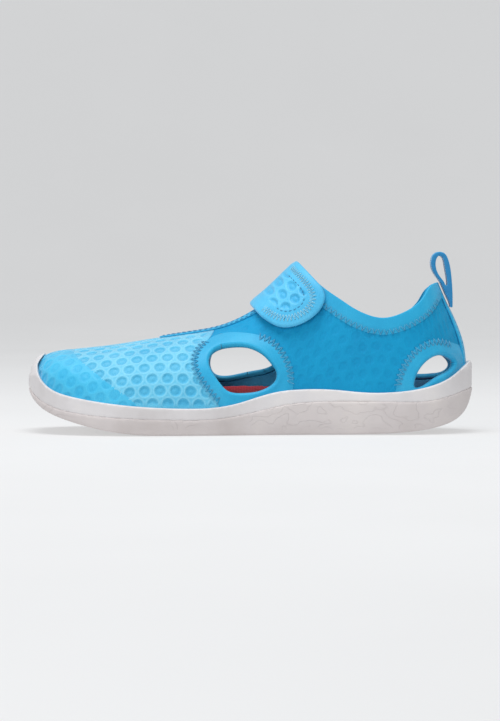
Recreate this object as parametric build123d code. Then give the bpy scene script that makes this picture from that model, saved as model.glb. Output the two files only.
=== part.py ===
"""A child's left water shoe: cupped rubber sole, stretch neoprene upper, hook-and-loop strap, pull loop.

Millimetres. The toe points to -X, +Y is the inner (arch) side of the foot, +Z is up, and the shoe
stands on z = 0. Every layer of the upper is the same foot-shaped form at its own distance from it.
"""

import math
import os

import numpy as np
from build123d import *

# ---- thicknesses and gaps -------------------------------------------------------------------
NEOPRENE = 2.2
FACING = 0.7  # bonded and stitched edge facings
TOE_FILM = 0.4
GUSSET = 0.8
TAPE = 1.1
STRAP_GAP = 1.4  # upper to the underside of the bridge
HOOK_LOW = 1.0  # upper to the hook side of the strap tab
HOOK_HIGH = 1.7
STRAP_TOP = 4.2  # upper to the outer face of the strap
OUTSOLE_FLOOR = 3.4
STROBEL = 0.8
COVER = 0.9
LOW_Z = -6.0  # every form runs down past the ground and is trimmed

# ---- the form: ribs from toe to heel ---------------------------------------------------------
# outer feather line x, y | inner feather line x, y | ridge x, y, z | feather z | rib exponent
RIBS = [
    (-96.5, 4.0, -96.5, 4.0, -96.5, 4.0, 22.0, 13.5, 0.85),
    (-94.6, -8.0, -95.2, 15.0, -95.9, 4.8, 29.5, 13.0, 0.82),
    (-88.5, -18.5, -90.5, 24.0, -92.2, 5.6, 33.8, 12.3, 0.80),
    (-78.0, -26.5, -81.0, 30.0, -82.5, 6.2, 36.3, 11.2, 0.80),
    (-64.0, -31.5, -66.0, 33.0, -66.0, 6.4, 38.1, 10.0, 0.82),
    (-47.0, -33.5, -48.0, 33.5, -48.0, 6.0, 40.8, 9.0, 0.85),
    (-28.0, -32.5, -28.5, 31.5, -29.0, 5.0, 43.9, 8.8, 0.90),
    (-9.5, -29.5, -10.0, 27.5, -10.5, 3.8, 48.3, 9.8, 0.97),
    (7.5, -26.8, 7.5, 24.4, 6.8, 2.7, 58.6, 11.2, 1.00),
    (23.0, -25.2, 23.0, 23.2, 21.8, 2.4, 72.6, 12.2, 1.00),
    (38.5, -24.5, 38.5, 23.6, 37.5, 2.0, 84.0, 12.4, 1.00),
    (54.5, -24.3, 54.5, 24.4, 55.5, 1.5, 89.0, 12.0, 1.00),
    (70.5, -23.2, 70.5, 23.6, 74.0, 0.8, 84.0, 11.8, 1.00),
    (83.5, -19.0, 83.5, 19.4, 84.9, 0.2, 65.0, 12.0, 1.00),
    (91.3, -12.3, 91.3, 12.7, 91.4, 0.0, 50.4, 12.6, 0.98),
    (95.5, -6.0, 95.5, 6.2, 95.7, 0.0, 38.0, 13.2, 0.95),
    (96.8, 0.0, 96.8, 0.0, 96.8, 0.0, 24.0, 13.6, 0.95),
]
LAST_RIB = len(RIBS) - 1
RIB_END = 0.12  # the form starts and stops this far from the end ribs
GUSSET_RIBS = (3.5, 13.0)
WRAP = 2  # ribs borrowed from the other side, so both feather lines run round toe and heel

# ---- side-view lines, x and z ----------------------------------------------------------------
GROUND = [(-101, 26), (-100, 21.7), (-98.2, 17.4), (-94.6, 13.0), (-89, 9.4), (-80, 6.1)]
GROUND += [(-67.5, 2.8), (-56, 0.9), (-45, 0)]
HEEL_LIFT = [(45, 0), (60, 0.4), (72, 1.2), (82, 2.7), (90, 5.2), (95.5, 9.2), (98.6, 15.2), (101, 24)]
GROOVE = [(-101, 22), (-97.4, 17.9), (-93, 14.5), (-86.5, 11.6), (-79, 9.9), (-67, 8.3), (-50, 7.2)]
GROOVE += [(-30, 6.6), (-16, 6.9), (-4, 8.6), (9, 11.6), (20, 13.7), (34, 14.5), (65, 14.3)]
GROOVE += [(82, 14.9), (91, 17.1), (101, 20.5)]
RAND = [(-91.6, 36.4), (-92.4, 35.2), (-93.4, 33.6), (-94.6, 31.8), (-95.1, 30.2), (-94.9, 28.0)]
RAND += [(-94.0, 25.4), (-91.2, 21.9), (-87, 19.2), (-79, 16.8), (-67, 14.7)]
RAND += [(-49, 12.7), (-29, 11.8), (-14, 12.3), (-4, 14.3), (5, 17.1), (14, 19.2), (25, 20.0)]
RAND += [(37, 19.8), (50, 18.6), (61, 18.5), (72, 19.5), (82, 21.7), (90, 25.2), (95, 28.8), (102, 34)]
FEATHER = [(-101, 24.4), (-98, 19.8), (-94.6, 15.9), (-89, 12.6), (-80, 11.2), (-64, 10), (-47, 9)]
FEATHER += [(-28, 8.8), (-10, 9.8), (7, 11.2), (23, 12.2)]
FEATHER += [(38, 12.4), (54, 12), (70, 11.8), (84, 12), (101, 13.8)]
COLLAR = [(14, 82.5), (20, 76.2), (27, 69.4), (34, 63.1), (40.9, 58.2), (45.4, 55.1), (51, 52.2)]
COLLAR += [(59, 50.3), (66.5, 52.0), (72.5, 55.2), (77, 59.4), (81.4, 65.6), (84, 66.9), (92, 67.2)]
COLLAR_TILT = 0.06  # the inner side of the collar is cut this much lower per mm across
COLLAR_BAND = 6.8  # width of the collar facing

SIDE_VENT = [(-17.9, 33.5), (-15.6, 36.8), (-12, 38.3), (-7, 38.9), (-1.6, 38.6), (2.5, 37.2)]
SIDE_VENT += [(6.1, 34.9), (9.7, 30.9), (11.7, 27.4), (11.6, 24.6), (9.6, 22), (7, 20.4), (3.2, 19.1)]
SIDE_VENT += [(-2, 18.5), (-7, 18.7), (-10, 19.8), (-12.3, 22.1), (-14.9, 25.6), (-17.2, 29.3)]
INNER_SIDE_VENT = [(-17.6, 33), (-15, 37.4), (-10, 39.6), (-3, 40.2), (4, 39), (9.6, 35.4)]
INNER_SIDE_VENT += [(12, 31), (9, 28.3), (2, 26.5), (-6, 24.8), (-12, 24), (-16.2, 25.2), (-18, 29)]
HEEL_VENT = [(73.4, 20.8), (73.6, 24.6), (75.2, 28.2), (77.6, 31.2), (81, 33.7), (85, 34.8)]
HEEL_VENT += [(88.4, 33.6), (90.9, 31.2), (89.6, 28.6), (85.8, 26.4), (81.4, 24.2), (77.2, 21.6)]
INNER_HEEL_VENT = [(73.4, 26), (75, 29.4), (78, 32.6), (82, 34.8), (86, 34.8), (89.5, 32.6), (91, 29.6)]
INNER_HEEL_VENT += [(89, 26.8), (84, 25.4), (77, 25)]

# stitched outlines round the vents, where the facings end
SIDE_RING = [(-21, 38.8), (-24.2, 32.2), (-22, 26), (-19, 21.5), (-16, 17.5), (-13, 13), (-12, 6)]
SIDE_RING += [(16, 6), (17.9, 15), (18.8, 24), (17.4, 31.6), (14.2, 37), (9.6, 41), (3.5, 43.4)]
SIDE_RING += [(-4, 44.4), (-11, 44.2), (-17, 42.2)]
HEEL_RING = [(64.6, 8), (65.4, 20), (66.6, 26), (69, 31), (72.4, 35.8), (77, 39.4), (82.4, 41.2)]
HEEL_RING += [(88, 40.4), (98, 36), (104, 26), (98, 10), (80, 4)]
TOE_CAP = [(-84, 50), (-80, 37.2), (-71, 29.4), (-62, 22.6), (-52.6, 16), (-47.5, 10), (-45, 4)]
VAMP_SEAM = [(-14, 60), (-15, 50), (-17.5, 43), (-21.5, 38.4), (-24.2, 32.2), (-22, 26), (-19, 21.5)]
VAMP_SEAM += [(-16, 17.5), (-13, 13), (-12, 4)]

# ---- sole wall -------------------------------------------------------------------------------
WALL_LEVELS = [(LOW_Z, 1.2), (2, 2.6), (9, 3.3), (17, 3.5), (28, 3.5), (42, 3.5)]  # height, width
HUG_Z = (0, 14, 20, 26, 32, 38)  # the wall's top leans in and stays near the form:
HUG = (9, 7, 4.6, 3.1, 1.9, 0.4)  # its distance from it by height,
HEEL_HUG = 1.3  # and how much more at the heel
TREAD_PITCH = 8.0
TREAD_WIDTH = 1.6
TREAD_DEPTH = 1.1
TREAD_REACH = 20.0
TREAD_BOW = 2.5

# ---- throat, seen from above -----------------------------------------------------------------
THROAT_APEX = (-36.5, 4.6)
THROAT_REAR_X = 30.0
THROAT_REAR_Y = (-7.2, 12.4)
THROAT_BAND = 4.5
GUSSET_LAP = 3.0

# ---- strap: a runs up along the instep ridge, b down and back from it, in side view ----------
STRAP_ORIGIN = (-0.5, 57.8)
STRAP_ANGLE = 42.7
STRAP_WIDTH = 29.0
STRAP_RIDGE_Y = 2.5
STRAP_SPLIT = 0.4  # half of the slit where the strap folds
TAB_END = [(0, 8), (3.4, 17.4), (9, 21.6), (16, 23.6), (22.5, 23.3), (27, 20.8), (29, 16)]
BRIDGE_END = 15.4
ANCHOR = (16.4, 25.5)
ANCHOR_ROUND = 4.0
PATCH_A = (5.0, 21.0)
PATCH_B = (5.5, 19.5)

# ---- pull loop and heel tape -----------------------------------------------------------------
LOOP_HALF_WIDTH = 4.5
LOOP_OUTSIDE = [(91.3, 56.0), (91.3, 61), (90.9, 68), (90.3, 73.2), (89.2, 77.6), (87.6, 80.2)]
LOOP_OUTSIDE += [(85.2, 80.9), (82.7, 79.8), (81.5, 76.8), (82.6, 71.6), (85.4, 67.6), (87.2, 63.8)]
LOOP_OUTSIDE += [(88.9, 60), (90.1, 56.8), (90.6, 55.8)]
LOOP_INSIDE = [(88.9, 66.0), (88.7, 68.4), (88.0, 72.6), (87.3, 76.4), (86.4, 78.6), (85.2, 79.1)]
LOOP_INSIDE += [(84.2, 78.2), (83.6, 76.0), (84.2, 72.2), (86.3, 68.8), (87.7, 66.6), (88.4, 65.6)]
TAPE_HALF_WIDTH = 5.0
TAPE_TOP = 55.3

# ---- footbed, by station: x, centre z, outer rim, inner rim ----------------------------------
FOOTBED = [
    (-99, 21.5, 2.0, 2.0),
    (-80, 15.6, 1.5, 1.5),
    (-55, 13.4, 1.5, 1.5),
    (-32, 12.8, 1.6, 3.0),
    (-12, 13.6, 2.0, 6.8),
    (8, 14.8, 2.6, 8.0),
    (30, 15.8, 3.2, 7.0),
    (52, 15.6, 4.5, 6.2),
    (76, 15.6, 6.5, 6.6),
    (99, 18.0, 6.0, 6.0),
]
FOOTBED_HALF_WIDTH = 26.0
FOOTBED_RIM_TOP = 2.0  # the footbed's edge stops this far above the rand
FOOTBED_RIM_TILT = -0.18  # and higher on the inner side


def natural_spline(rows):
    """A function of u: the natural cubic that passes through rows[k] at u = k."""
    y = np.asarray(rows, float)
    n = len(y)
    a = np.diag(np.full(n, 4.0)) + np.diag(np.ones(n - 1), 1) + np.diag(np.ones(n - 1), -1)
    a[0], a[-1] = np.eye(n)[0], np.eye(n)[-1]
    rhs = np.zeros_like(y)
    rhs[1:-1] = 6 * (y[2:] - 2 * y[1:-1] + y[:-2])
    m = np.linalg.solve(a, rhs)

    def at(u):
        i = min(max(int(u), 0), n - 2)
        t = u - i
        bend = t * (1 - t) / 6 * ((2 - t) * m[i] + (1 + t) * m[i + 1])
        return (1 - t) * y[i] + t * y[i + 1] - bend

    return at


TABLE = np.array(RIBS)
OUTER, INNER = TABLE[:, 0:2], TABLE[:, 2:4]
outer_line = natural_spline(np.vstack([INNER[WRAP:0:-1], OUTER, INNER[-2 : -2 - WRAP : -1]]))
inner_line = natural_spline(np.vstack([OUTER[WRAP:0:-1], INNER, OUTER[-2 : -2 - WRAP : -1]]))
ridge_line = natural_spline(TABLE[:, 4:9])


def form_point(u, t):
    """The form at rib u; t runs from -1 at the outer feather line, by 0 at the ridge, to 1."""
    base = (outer_line if t < 0 else inner_line)(u + WRAP)
    x, y, z, feather, power = ridge_line(u)
    angle = (1 - abs(t)) * math.pi / 2
    rise = math.sin(angle) ** power
    side = max(math.cos(angle), 0.0) ** power
    inward, across, upward = (x - base[0]) * rise, (base[1] - y) * side, (z - feather) * rise
    return np.array([base[0] + inward, y + across, feather + upward])


def form_normal(u, t, d=0.02):
    """The form's outward unit normal."""
    u0, u1 = max(u - d, d), min(u + d, LAST_RIB - d)
    t0, t1 = max(t - d, -1), min(t + d, 1)
    n = np.cross(form_point(u1, t) - form_point(u0, t), form_point(u, t1) - form_point(u, t0))
    return n / np.linalg.norm(n)


def rib_points(u, distance):
    """One rib at a distance from the form, with a leg on each side down to LOW_Z."""
    steps = 9
    arc = []
    for k in range(-steps, steps + 1):
        p = form_point(u, k / steps)
        reach = distance(p) if callable(distance) else distance
        arc.append(p + reach * form_normal(u, k / steps))
    legs = []
    for foot in (arc[0], arc[-1]):
        legs.append([np.array([foot[0], foot[1], z]) for z in (LOW_Z, (LOW_Z + foot[2]) / 2)])
    return np.array(legs[0] + arc + legs[1][::-1])


def form_solid(distance, first=RIB_END, last=LAST_RIB - RIB_END):
    """The form between two ribs at a distance, fixed or by point, closed underneath at LOW_Z."""
    between = [k / 2 for k in range(2 * LAST_RIB) if first < k / 2 < last]
    stations = [first, *between, last]
    chords = np.linalg.norm(np.diff(rib_points(8, 0), axis=0), axis=1)
    knots = list(np.concatenate([[0], np.cumsum(chords)]) / chords.sum())
    ribs = [rib_points(u, distance) for u in stations]
    ribs[0][:, 0] = ribs[0][:, 0].min()
    ribs[-1][:, 0] = ribs[-1][:, 0].max()
    wires = []
    for p in ribs:
        arc = Edge.make_spline([Vector(*q) for q in p], parameters=knots)
        wires.append(Wire([arc, Edge.make_line(Vector(*p[-1]), Vector(*p[0]))]))
    return Solid.make_loft(wires)


def xz(points, y=0.0):
    """Side-view points as vectors."""
    return [Vector(x, y, z) for x, z in points]


def prism(wire, y0, y1, tilt=0.0):
    """A side-view outline, drawn at y = 0, as a solid from y0 to y1; tilt lowers it per mm of +Y."""
    face = Face(wire).moved(Location((0, y0, -tilt * y0)))
    way = Vector(0, 1, -tilt)
    return extrude(face, amount=(y1 - y0) * way.length, dir=way.normalized())


def band_between(line, z_far, y0=-60.0, y1=60.0, tilt=0.0):
    """Everything between a side-view line and the height z_far."""
    top = Edge.make_spline(xz(line))
    a, b = line[0], line[-1]
    front = min(x for x, z in line) - 4 if z_far < a[1] else a[0]
    corners = [b, (b[0], z_far), (front, z_far), (front, a[1]), a]
    corners = [c for k, c in enumerate(corners) if k == 0 or c != corners[k - 1]]
    rest = Wire.make_polygon(xz(corners), close=False)
    return prism(Wire([top, *rest.edges()]), y0, y1, tilt)


def front_of(line, height):
    """Everything towards the toe from a side-view line."""
    rest = Wire.make_polygon(xz([line[-1], (-110, line[-1][1]), (-110, height), line[0]]), close=False)
    return prism(Wire([Edge.make_spline(xz(line)), *rest.edges()]), -60, 60)


def closed_prism(points, y0, y1):
    """A closed smooth side-view outline as a solid."""
    return prism(Wire([Edge.make_spline(xz(points), periodic=True)]), y0, y1)


def in_strap(a, b):
    """A point of the strap's own side view, as x and z."""
    turn = math.radians(STRAP_ANGLE)
    x = STRAP_ORIGIN[0] + a * math.cos(turn) + b * math.sin(turn)
    z = STRAP_ORIGIN[1] + a * math.sin(turn) - b * math.cos(turn)
    return (x, z)


def strap_box(a0, a1, b0, b1, y0, y1):
    """A rectangle of the strap's side view as a solid."""
    corners = [in_strap(a0, b0), in_strap(a1, b0), in_strap(a1, b1), in_strap(a0, b1)]
    return prism(Wire.make_polygon(xz(corners)), y0, y1)


def throat_outline(grow, z0=20.0, z1=100.0):
    """The throat's V from above, widened by grow, as a solid between two heights."""
    (ax, ay), rx, (y0, y1) = THROAT_APEX, THROAT_REAR_X, THROAT_REAR_Y
    tip = 1.6 + grow
    points = [(rx, y0 - grow), (ax + 8, ay - tip), (ax - grow, ay), (ax + 8, ay + tip), (rx, y1 + grow)]
    front = Edge.make_spline([Vector(x, y, z0) for x, y in points[1:4]])
    sides = [Edge.make_line(Vector(*points[k], z0), Vector(*points[k + 1], z0)) for k in (0, 3)]
    back = Edge.make_line(Vector(*points[4], z0), Vector(*points[0], z0))
    return extrude(Face(Wire([sides[0], front, sides[1], back])), amount=z1 - z0, dir=(0, 0, 1))


def wall_outline(z, distance):
    """The feather line moved outwards, as a closed curve at height z."""
    loop = []
    for k in range(2 * LAST_RIB):
        outer = k < LAST_RIB
        line, u = (outer_line, k + WRAP) if outer else (inner_line, 2 * LAST_RIB - k + WRAP)
        d = line(u + 0.05) - line(u - 0.05)
        n = np.array([d[1], -d[0]]) * (1 if outer else -1)
        p = line(u) + distance * n / np.linalg.norm(n)
        loop.append(Vector(*p, z))
    return Wire([Edge.make_spline(loop, periodic=True)])


def hug_distance(p):
    """How far from the form the sole's wall may stand at a point."""
    at_heel = min(max((p[0] - 60) / 25, 0), 1)
    return np.interp(p[2], HUG_Z, HUG) + HEEL_HUG * at_heel


def sole_wall():
    """The sole's outer wall, taller than the sole."""
    return Solid.make_loft([wall_outline(*level) for level in WALL_LEVELS])


def raised(line, dz):
    """A side-view line moved up."""
    return [(x, z + dz) for x, z in line]


def ground_line(dz=0.0):
    """The region below the tread, shifted up by dz: curved toe, flat waist, lifted heel."""
    toe = Edge.make_spline(xz(raised(GROUND, dz)))
    heel = Edge.make_spline(xz(raised(HEEL_LIFT, dz)))
    flat = Edge.make_line(Vector(GROUND[-1][0], 0, dz), Vector(HEEL_LIFT[0][0], 0, dz))
    deep = LOW_Z - 4
    under = [(101, 24 + dz), (101, deep), (-101, deep), (-101, 26 + dz)]
    rest = Wire.make_polygon(xz(under), close=False)
    return prism(Wire([toe, flat, heel, *rest.edges()]), -60, 60)


def tread_groove(x):
    """One shallow bowed groove across the tread, as a tall cutter."""
    edges = []
    for dx, side in ((0, -1), (TREAD_WIDTH, 1)):
        ends = [Vector(x + dx, s * side * TREAD_REACH, -1) for s in (1, -1)]
        edges.append(Edge.make_three_point_arc(ends[0], Vector(x + dx - TREAD_BOW, 0, -1), ends[1]))
    for a, b in ((0, 1), (1, 0)):
        edges.append(Edge.make_line(edges[a] @ 1, edges[b] @ 0))
    return extrude(Face(Wire(edges)), amount=20, dir=(0, 0, 1))


def footbed_hollow(drop):
    """The space above the footbed; its floor rises to a rim on each side."""
    wires = []
    for x, z, outer_rim, inner_rim in FOOTBED:
        points = []
        for k in range(-7, 8):
            t = k / 5
            rim = (outer_rim if t < 0 else inner_rim) * abs(t) ** 2.4
            points.append(Vector(x, t * FOOTBED_HALF_WIDTH, z + rim - drop))
        top = 90.0
        lid = Wire.make_polygon(
            [points[-1], Vector(x, points[-1].Y, top), Vector(x, points[0].Y, top), points[0]],
            close=False,
        )
        wires.append(Wire([Edge.make_spline(points), *lid.edges()]))
    return Solid.make_loft(wires)


def sole_parts(forms, upper_space):
    """Outsole, foxing band and midsole core."""
    wall = sole_wall() - ground_line()
    hugging = sole_wall() & form_solid(hug_distance)
    core_outline = Face(wall_outline(LOW_Z, -1.0))
    core = extrude(core_outline, amount=40, dir=(0, 0, 1)) - ground_line(OUTSOLE_FLOOR)
    core = core - band_between(FEATHER, 60)
    foxing = cut(hugging, [band_between(RAND, 60), band_between(GROOVE, -20), upper_space, core])
    outsole = cut(wall, [band_between(GROOVE, 60), upper_space, core])
    deep = ground_line(TREAD_DEPTH)
    for k in range(-8, 10):
        outsole -= tread_groove(k * TREAD_PITCH) & deep
    return {"outsole": outsole, "foxing_band": foxing, "midsole_core": core}


def footbed_parts(inner_form):
    """Strobel board, insole foam and its cover, stacked inside the upper."""
    above = inner_form - band_between(FEATHER, -20)
    strobel = above - band_between(raised(FEATHER, STROBEL), 95)
    rim = band_between(raised(RAND, FOOTBED_RIM_TOP), 95, tilt=FOOTBED_RIM_TILT)
    bed = above - band_between(raised(FEATHER, STROBEL), -20) - rim
    hollow, foam_hollow = footbed_hollow(0), footbed_hollow(COVER)
    return {
        "strobel_board": strobel,
        "insole_foam": bed - foam_hollow,
        "insole_cover": (bed & foam_hollow) - hollow,
    }


def openings():
    """Everything cut through the upper: collar, vents and throat."""
    return [
        band_between(COLLAR, 110, tilt=COLLAR_TILT),
        closed_prism(SIDE_VENT, -60, 0),
        closed_prism(INNER_SIDE_VENT, 0, 60),
        closed_prism(HEEL_VENT, -60, -0.01),
        closed_prism(INNER_HEEL_VENT, 0.01, 60),
    ]


def cut(solid, tools):
    """solid less each tool in turn."""
    for tool in tools:
        solid = solid - tool
    return solid


def collar_below():
    """The region above the lower edge of the collar facing."""
    line = []
    for (x0, z0), (x, z), (x1, z1) in zip(COLLAR, COLLAR[1:], COLLAR[2:]):
        n = Vector(z1 - z0, 0, -(x1 - x0)).normalized()
        line.append((x - abs(n.X) * COLLAR_BAND * (1 if z1 < z0 else -1), z - abs(n.Z) * COLLAR_BAND))
    line = [(line[0][0] - 7, line[0][1] + 7), *line[:-1], (92, 58.5)]
    return band_between(line, 110, tilt=COLLAR_TILT)


def upper_parts(forms, under_gusset, holes):
    """Neoprene panels and everything bonded or sewn onto them."""
    above = band_between(FEATHER, -20)
    skin = cut(forms[0] - forms[-NEOPRENE], [above, *holes, throat_outline(0)])
    front = front_of(VAMP_SEAM, 60)
    outer_half = Pos(-110, 1.5, 0) * Box(160, 60, 120, align=(Align.MIN, Align.MAX, Align.MIN))
    outer_half += Pos(50, 0, 0) * Box(60, 60, 120, align=(Align.MIN, Align.MAX, Align.MIN))
    rear = skin - front
    rand = band_between(RAND, -20)
    facing = cut(forms[FACING] - forms[0], [rand, *holes, throat_outline(0)])
    outer_side = Box(300, 60, 60, align=(Align.CENTER, Align.MAX, Align.MIN))
    inner_side = Box(300, 60, 60, align=(Align.CENTER, Align.MIN, Align.MIN))
    tape_zone = Pos(75, 0, 0) * Box(40, 2 * TAPE_HALF_WIDTH, 60, align=(Align.MIN, Align.CENTER, Align.MIN))
    heel_ring = closed_prism(HEEL_RING, -60, 60) - tape_zone
    collar = facing & collar_below()
    collar = collar - tape_zone
    throat = (facing & throat_outline(THROAT_BAND)) - collar_below()
    gusset_tools = [above, band_between(COLLAR, 110, tilt=COLLAR_TILT)]
    gusset = cut(forms[-NEOPRENE] & throat_outline(GUSSET_LAP), [under_gusset, *gusset_tools])
    tape = (forms[TAPE] - forms[0]) & tape_zone
    over_tape = Pos(60, 0, TAPE_TOP) * Box(60, 60, 60, align=(Align.MIN, Align.CENTER, Align.MIN))
    tape = cut(tape, [rand, over_tape])
    return {
        "vamp": skin & front,
        "outer_quarter": rear & outer_half,
        "inner_quarter": rear - outer_half,
        "toe_cap": ((forms[TOE_FILM] - forms[0]) & front_of(TOE_CAP, 50)) - rand,
        "outer_side_vent_facing": (facing & closed_prism(SIDE_RING, -60, 0)) - throat,
        "inner_side_vent_facing": (facing & closed_prism(SIDE_RING, 0, 60)) - throat,
        "outer_heel_vent_facing": facing & heel_ring & outer_side,
        "inner_heel_vent_facing": facing & heel_ring & inner_side,
        "collar_facing": collar,
        "throat_facing": throat,
        "throat_gusset": gusset,
        "heel_tape": tape,
    }


def strap_parts(forms, facings):
    """The strap over the instep: sewn anchor, bridge, tab with its hook patch, and the loop patch."""
    ridge = STRAP_RIDGE_Y
    reach = -8.0
    strap = forms[STRAP_TOP] - forms[STRAP_GAP]
    tab_layer = forms[STRAP_TOP] - forms[HOOK_HIGH]
    end = Edge.make_spline(xz([in_strap(*p) for p in TAB_END]))
    first, last = TAB_END[0], TAB_END[-1]
    corners = [last, (last[0], reach), (first[0], reach), first]
    sides = Wire.make_polygon(xz([in_strap(*c) for c in corners]), close=False)
    tab_zone = prism(Wire([end, *sides.edges()]), -60, ridge - STRAP_SPLIT)
    anchor_zone = strap_box(0, STRAP_WIDTH, *ANCHOR, ridge, 60)
    turn = math.radians(STRAP_ANGLE)
    down = Axis((0, 0, 0), (math.sin(turn), 0, -math.cos(turn)))
    corners = anchor_zone.edges().filter_by(Axis.Y).sort_by(down)[-2:]
    anchor_zone = fillet(corners, ANCHOR_ROUND)
    bridge_zone = strap_box(0, STRAP_WIDTH, reach, BRIDGE_END, ridge + STRAP_SPLIT, 60)
    patch_zone = strap_box(*PATCH_A, *PATCH_B, -60, ridge - STRAP_SPLIT)
    return {
        "strap_anchor": cut((forms[STRAP_TOP] - forms[0]) & anchor_zone, facings),
        "strap_bridge": strap & bridge_zone,
        "strap_tab": tab_layer & tab_zone,
        "hook_patch": (forms[HOOK_HIGH] - forms[HOOK_LOW]) & patch_zone,
        "loop_patch": (forms[FACING] - forms[0]) & patch_zone - throat_outline(THROAT_BAND),
    }


def pull_loop():
    """A webbing loop that stands up from the top of the heel tape."""
    lines = (LOOP_OUTSIDE, LOOP_INSIDE)
    around, inside = (Wire([Edge.make_spline(xz(line), periodic=True)]) for line in lines)
    ring = extrude(Face(around, [inside]), amount=LOOP_HALF_WIDTH, dir=(0, 1, 0), both=True)
    return {"pull_loop": ring}


def build():
    """Every node by name."""
    distances = [0, -NEOPRENE, TOE_FILM, FACING, TAPE]
    distances += [HOOK_LOW, STRAP_GAP, HOOK_HIGH, STRAP_TOP]
    forms = {d: form_solid(d) for d in distances}
    under_gusset = form_solid(-NEOPRENE - GUSSET, *GUSSET_RIBS)
    upper_space = forms[0] - band_between(FEATHER, -20)
    holes = openings()
    nodes = {}
    nodes.update(sole_parts(forms, upper_space))
    nodes.update(footbed_parts(forms[-NEOPRENE]))
    nodes.update(upper_parts(forms, under_gusset, holes))
    facings = [nodes[name] for name in ("collar_facing", "throat_facing", "inner_side_vent_facing")]
    nodes.update(strap_parts(forms, facings))
    nodes.update(pull_loop())
    return nodes


def main():
    os.makedirs("parts", exist_ok=True)
    for name, shape in build().items():
        solids = [s for s in shape.solids() if s.volume > 0.5]
        print(name, len(solids), round(sum(s.volume for s in solids), 1))
        export_step(Compound(solids), f"parts/{name}.step")


main()
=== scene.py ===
import math

import bpy
import numpy as np
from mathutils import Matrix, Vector


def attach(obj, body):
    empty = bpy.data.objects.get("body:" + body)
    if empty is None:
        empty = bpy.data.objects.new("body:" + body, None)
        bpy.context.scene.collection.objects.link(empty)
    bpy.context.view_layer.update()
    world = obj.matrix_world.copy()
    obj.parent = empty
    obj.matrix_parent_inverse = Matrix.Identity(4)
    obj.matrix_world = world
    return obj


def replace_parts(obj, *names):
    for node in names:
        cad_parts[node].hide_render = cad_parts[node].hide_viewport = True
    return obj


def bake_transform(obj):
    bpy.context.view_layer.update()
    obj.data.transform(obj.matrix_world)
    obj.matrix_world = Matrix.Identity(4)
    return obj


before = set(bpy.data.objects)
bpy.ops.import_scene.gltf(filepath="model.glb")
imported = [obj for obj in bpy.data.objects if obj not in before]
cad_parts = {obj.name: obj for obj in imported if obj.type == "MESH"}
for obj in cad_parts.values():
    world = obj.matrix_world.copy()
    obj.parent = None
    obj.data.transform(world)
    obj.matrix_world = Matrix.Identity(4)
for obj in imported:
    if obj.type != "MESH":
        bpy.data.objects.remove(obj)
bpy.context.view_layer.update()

MM = 0.001
STEP = 0.6  # mesh spacing of the upper, mm

# ---- the foot form, as in the CAD: millimetres, toe at -X, outer side at -Y -------------------
# outer feather line x, y | inner feather line x, y | ridge x, y, z | feather z | rib exponent
RIBS = np.array([
    (-96.5, 4.0, -96.5, 4.0, -96.5, 4.0, 22.0, 13.5, 0.85),
    (-94.6, -8.0, -95.2, 15.0, -95.9, 4.8, 29.5, 13.0, 0.82),
    (-88.5, -18.5, -90.5, 24.0, -92.2, 5.6, 33.8, 12.3, 0.80),
    (-78.0, -26.5, -81.0, 30.0, -82.5, 6.2, 36.3, 11.2, 0.80),
    (-64.0, -31.5, -66.0, 33.0, -66.0, 6.4, 38.1, 10.0, 0.82),
    (-47.0, -33.5, -48.0, 33.5, -48.0, 6.0, 40.8, 9.0, 0.85),
    (-28.0, -32.5, -28.5, 31.5, -29.0, 5.0, 43.9, 8.8, 0.90),
    (-9.5, -29.5, -10.0, 27.5, -10.5, 3.8, 48.3, 9.8, 0.97),
    (7.5, -26.8, 7.5, 24.4, 6.8, 2.7, 58.6, 11.2, 1.00),
    (23.0, -25.2, 23.0, 23.2, 21.8, 2.4, 72.6, 12.2, 1.00),
    (38.5, -24.5, 38.5, 23.6, 37.5, 2.0, 84.0, 12.4, 1.00),
    (54.5, -24.3, 54.5, 24.4, 55.5, 1.5, 89.0, 12.0, 1.00),
    (70.5, -23.2, 70.5, 23.6, 74.0, 0.8, 84.0, 11.8, 1.00),
    (83.5, -19.0, 83.5, 19.4, 84.9, 0.2, 65.0, 12.0, 1.00),
    (91.3, -12.3, 91.3, 12.7, 91.4, 0.0, 50.4, 12.6, 0.98),
    (95.5, -6.0, 95.5, 6.2, 95.7, 0.0, 38.0, 13.2, 0.95),
    (96.8, 0.0, 96.8, 0.0, 96.8, 0.0, 24.0, 13.6, 0.95),
])
LAST = len(RIBS) - 1
WRAP = 2
NEOPRENE, FACING, TAPE = 2.2, 0.7, 1.1

RAND = [(-91.6, 36.4), (-92.4, 35.2), (-93.4, 33.6), (-94.6, 31.8), (-95.1, 30.2), (-94.9, 28.0)]
RAND += [(-94.0, 25.4), (-91.2, 21.9), (-87, 19.2), (-79, 16.8), (-67, 14.7), (-49, 12.7), (-29, 11.8)]
RAND += [(-14, 12.3), (-4, 14.3)]
RAND += [(5, 17.1), (14, 19.2), (25, 20.0), (37, 19.8), (50, 18.6), (61, 18.5), (72, 19.5)]
RAND += [(82, 21.7), (90, 25.2), (95, 28.8), (102, 34)]
COLLAR = [(14, 82.5), (20, 76.2), (27, 69.4), (34, 63.1), (40.9, 58.2), (45.4, 55.1), (51, 52.2)]
COLLAR += [(59, 50.3), (66.5, 52.0), (72.5, 55.2), (77, 59.4), (81.4, 65.6), (84, 66.9), (92, 67.2)]
COLLAR_TILT, COLLAR_BAND = 0.06, 6.8
SIDE_VENT = [(-17.9, 33.5), (-15.6, 36.8), (-12, 38.3), (-7, 38.9), (-1.6, 38.6), (2.5, 37.2)]
SIDE_VENT += [(6.1, 34.9), (9.7, 30.9), (11.7, 27.4), (11.6, 24.6), (9.6, 22), (7, 20.4), (3.2, 19.1)]
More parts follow.
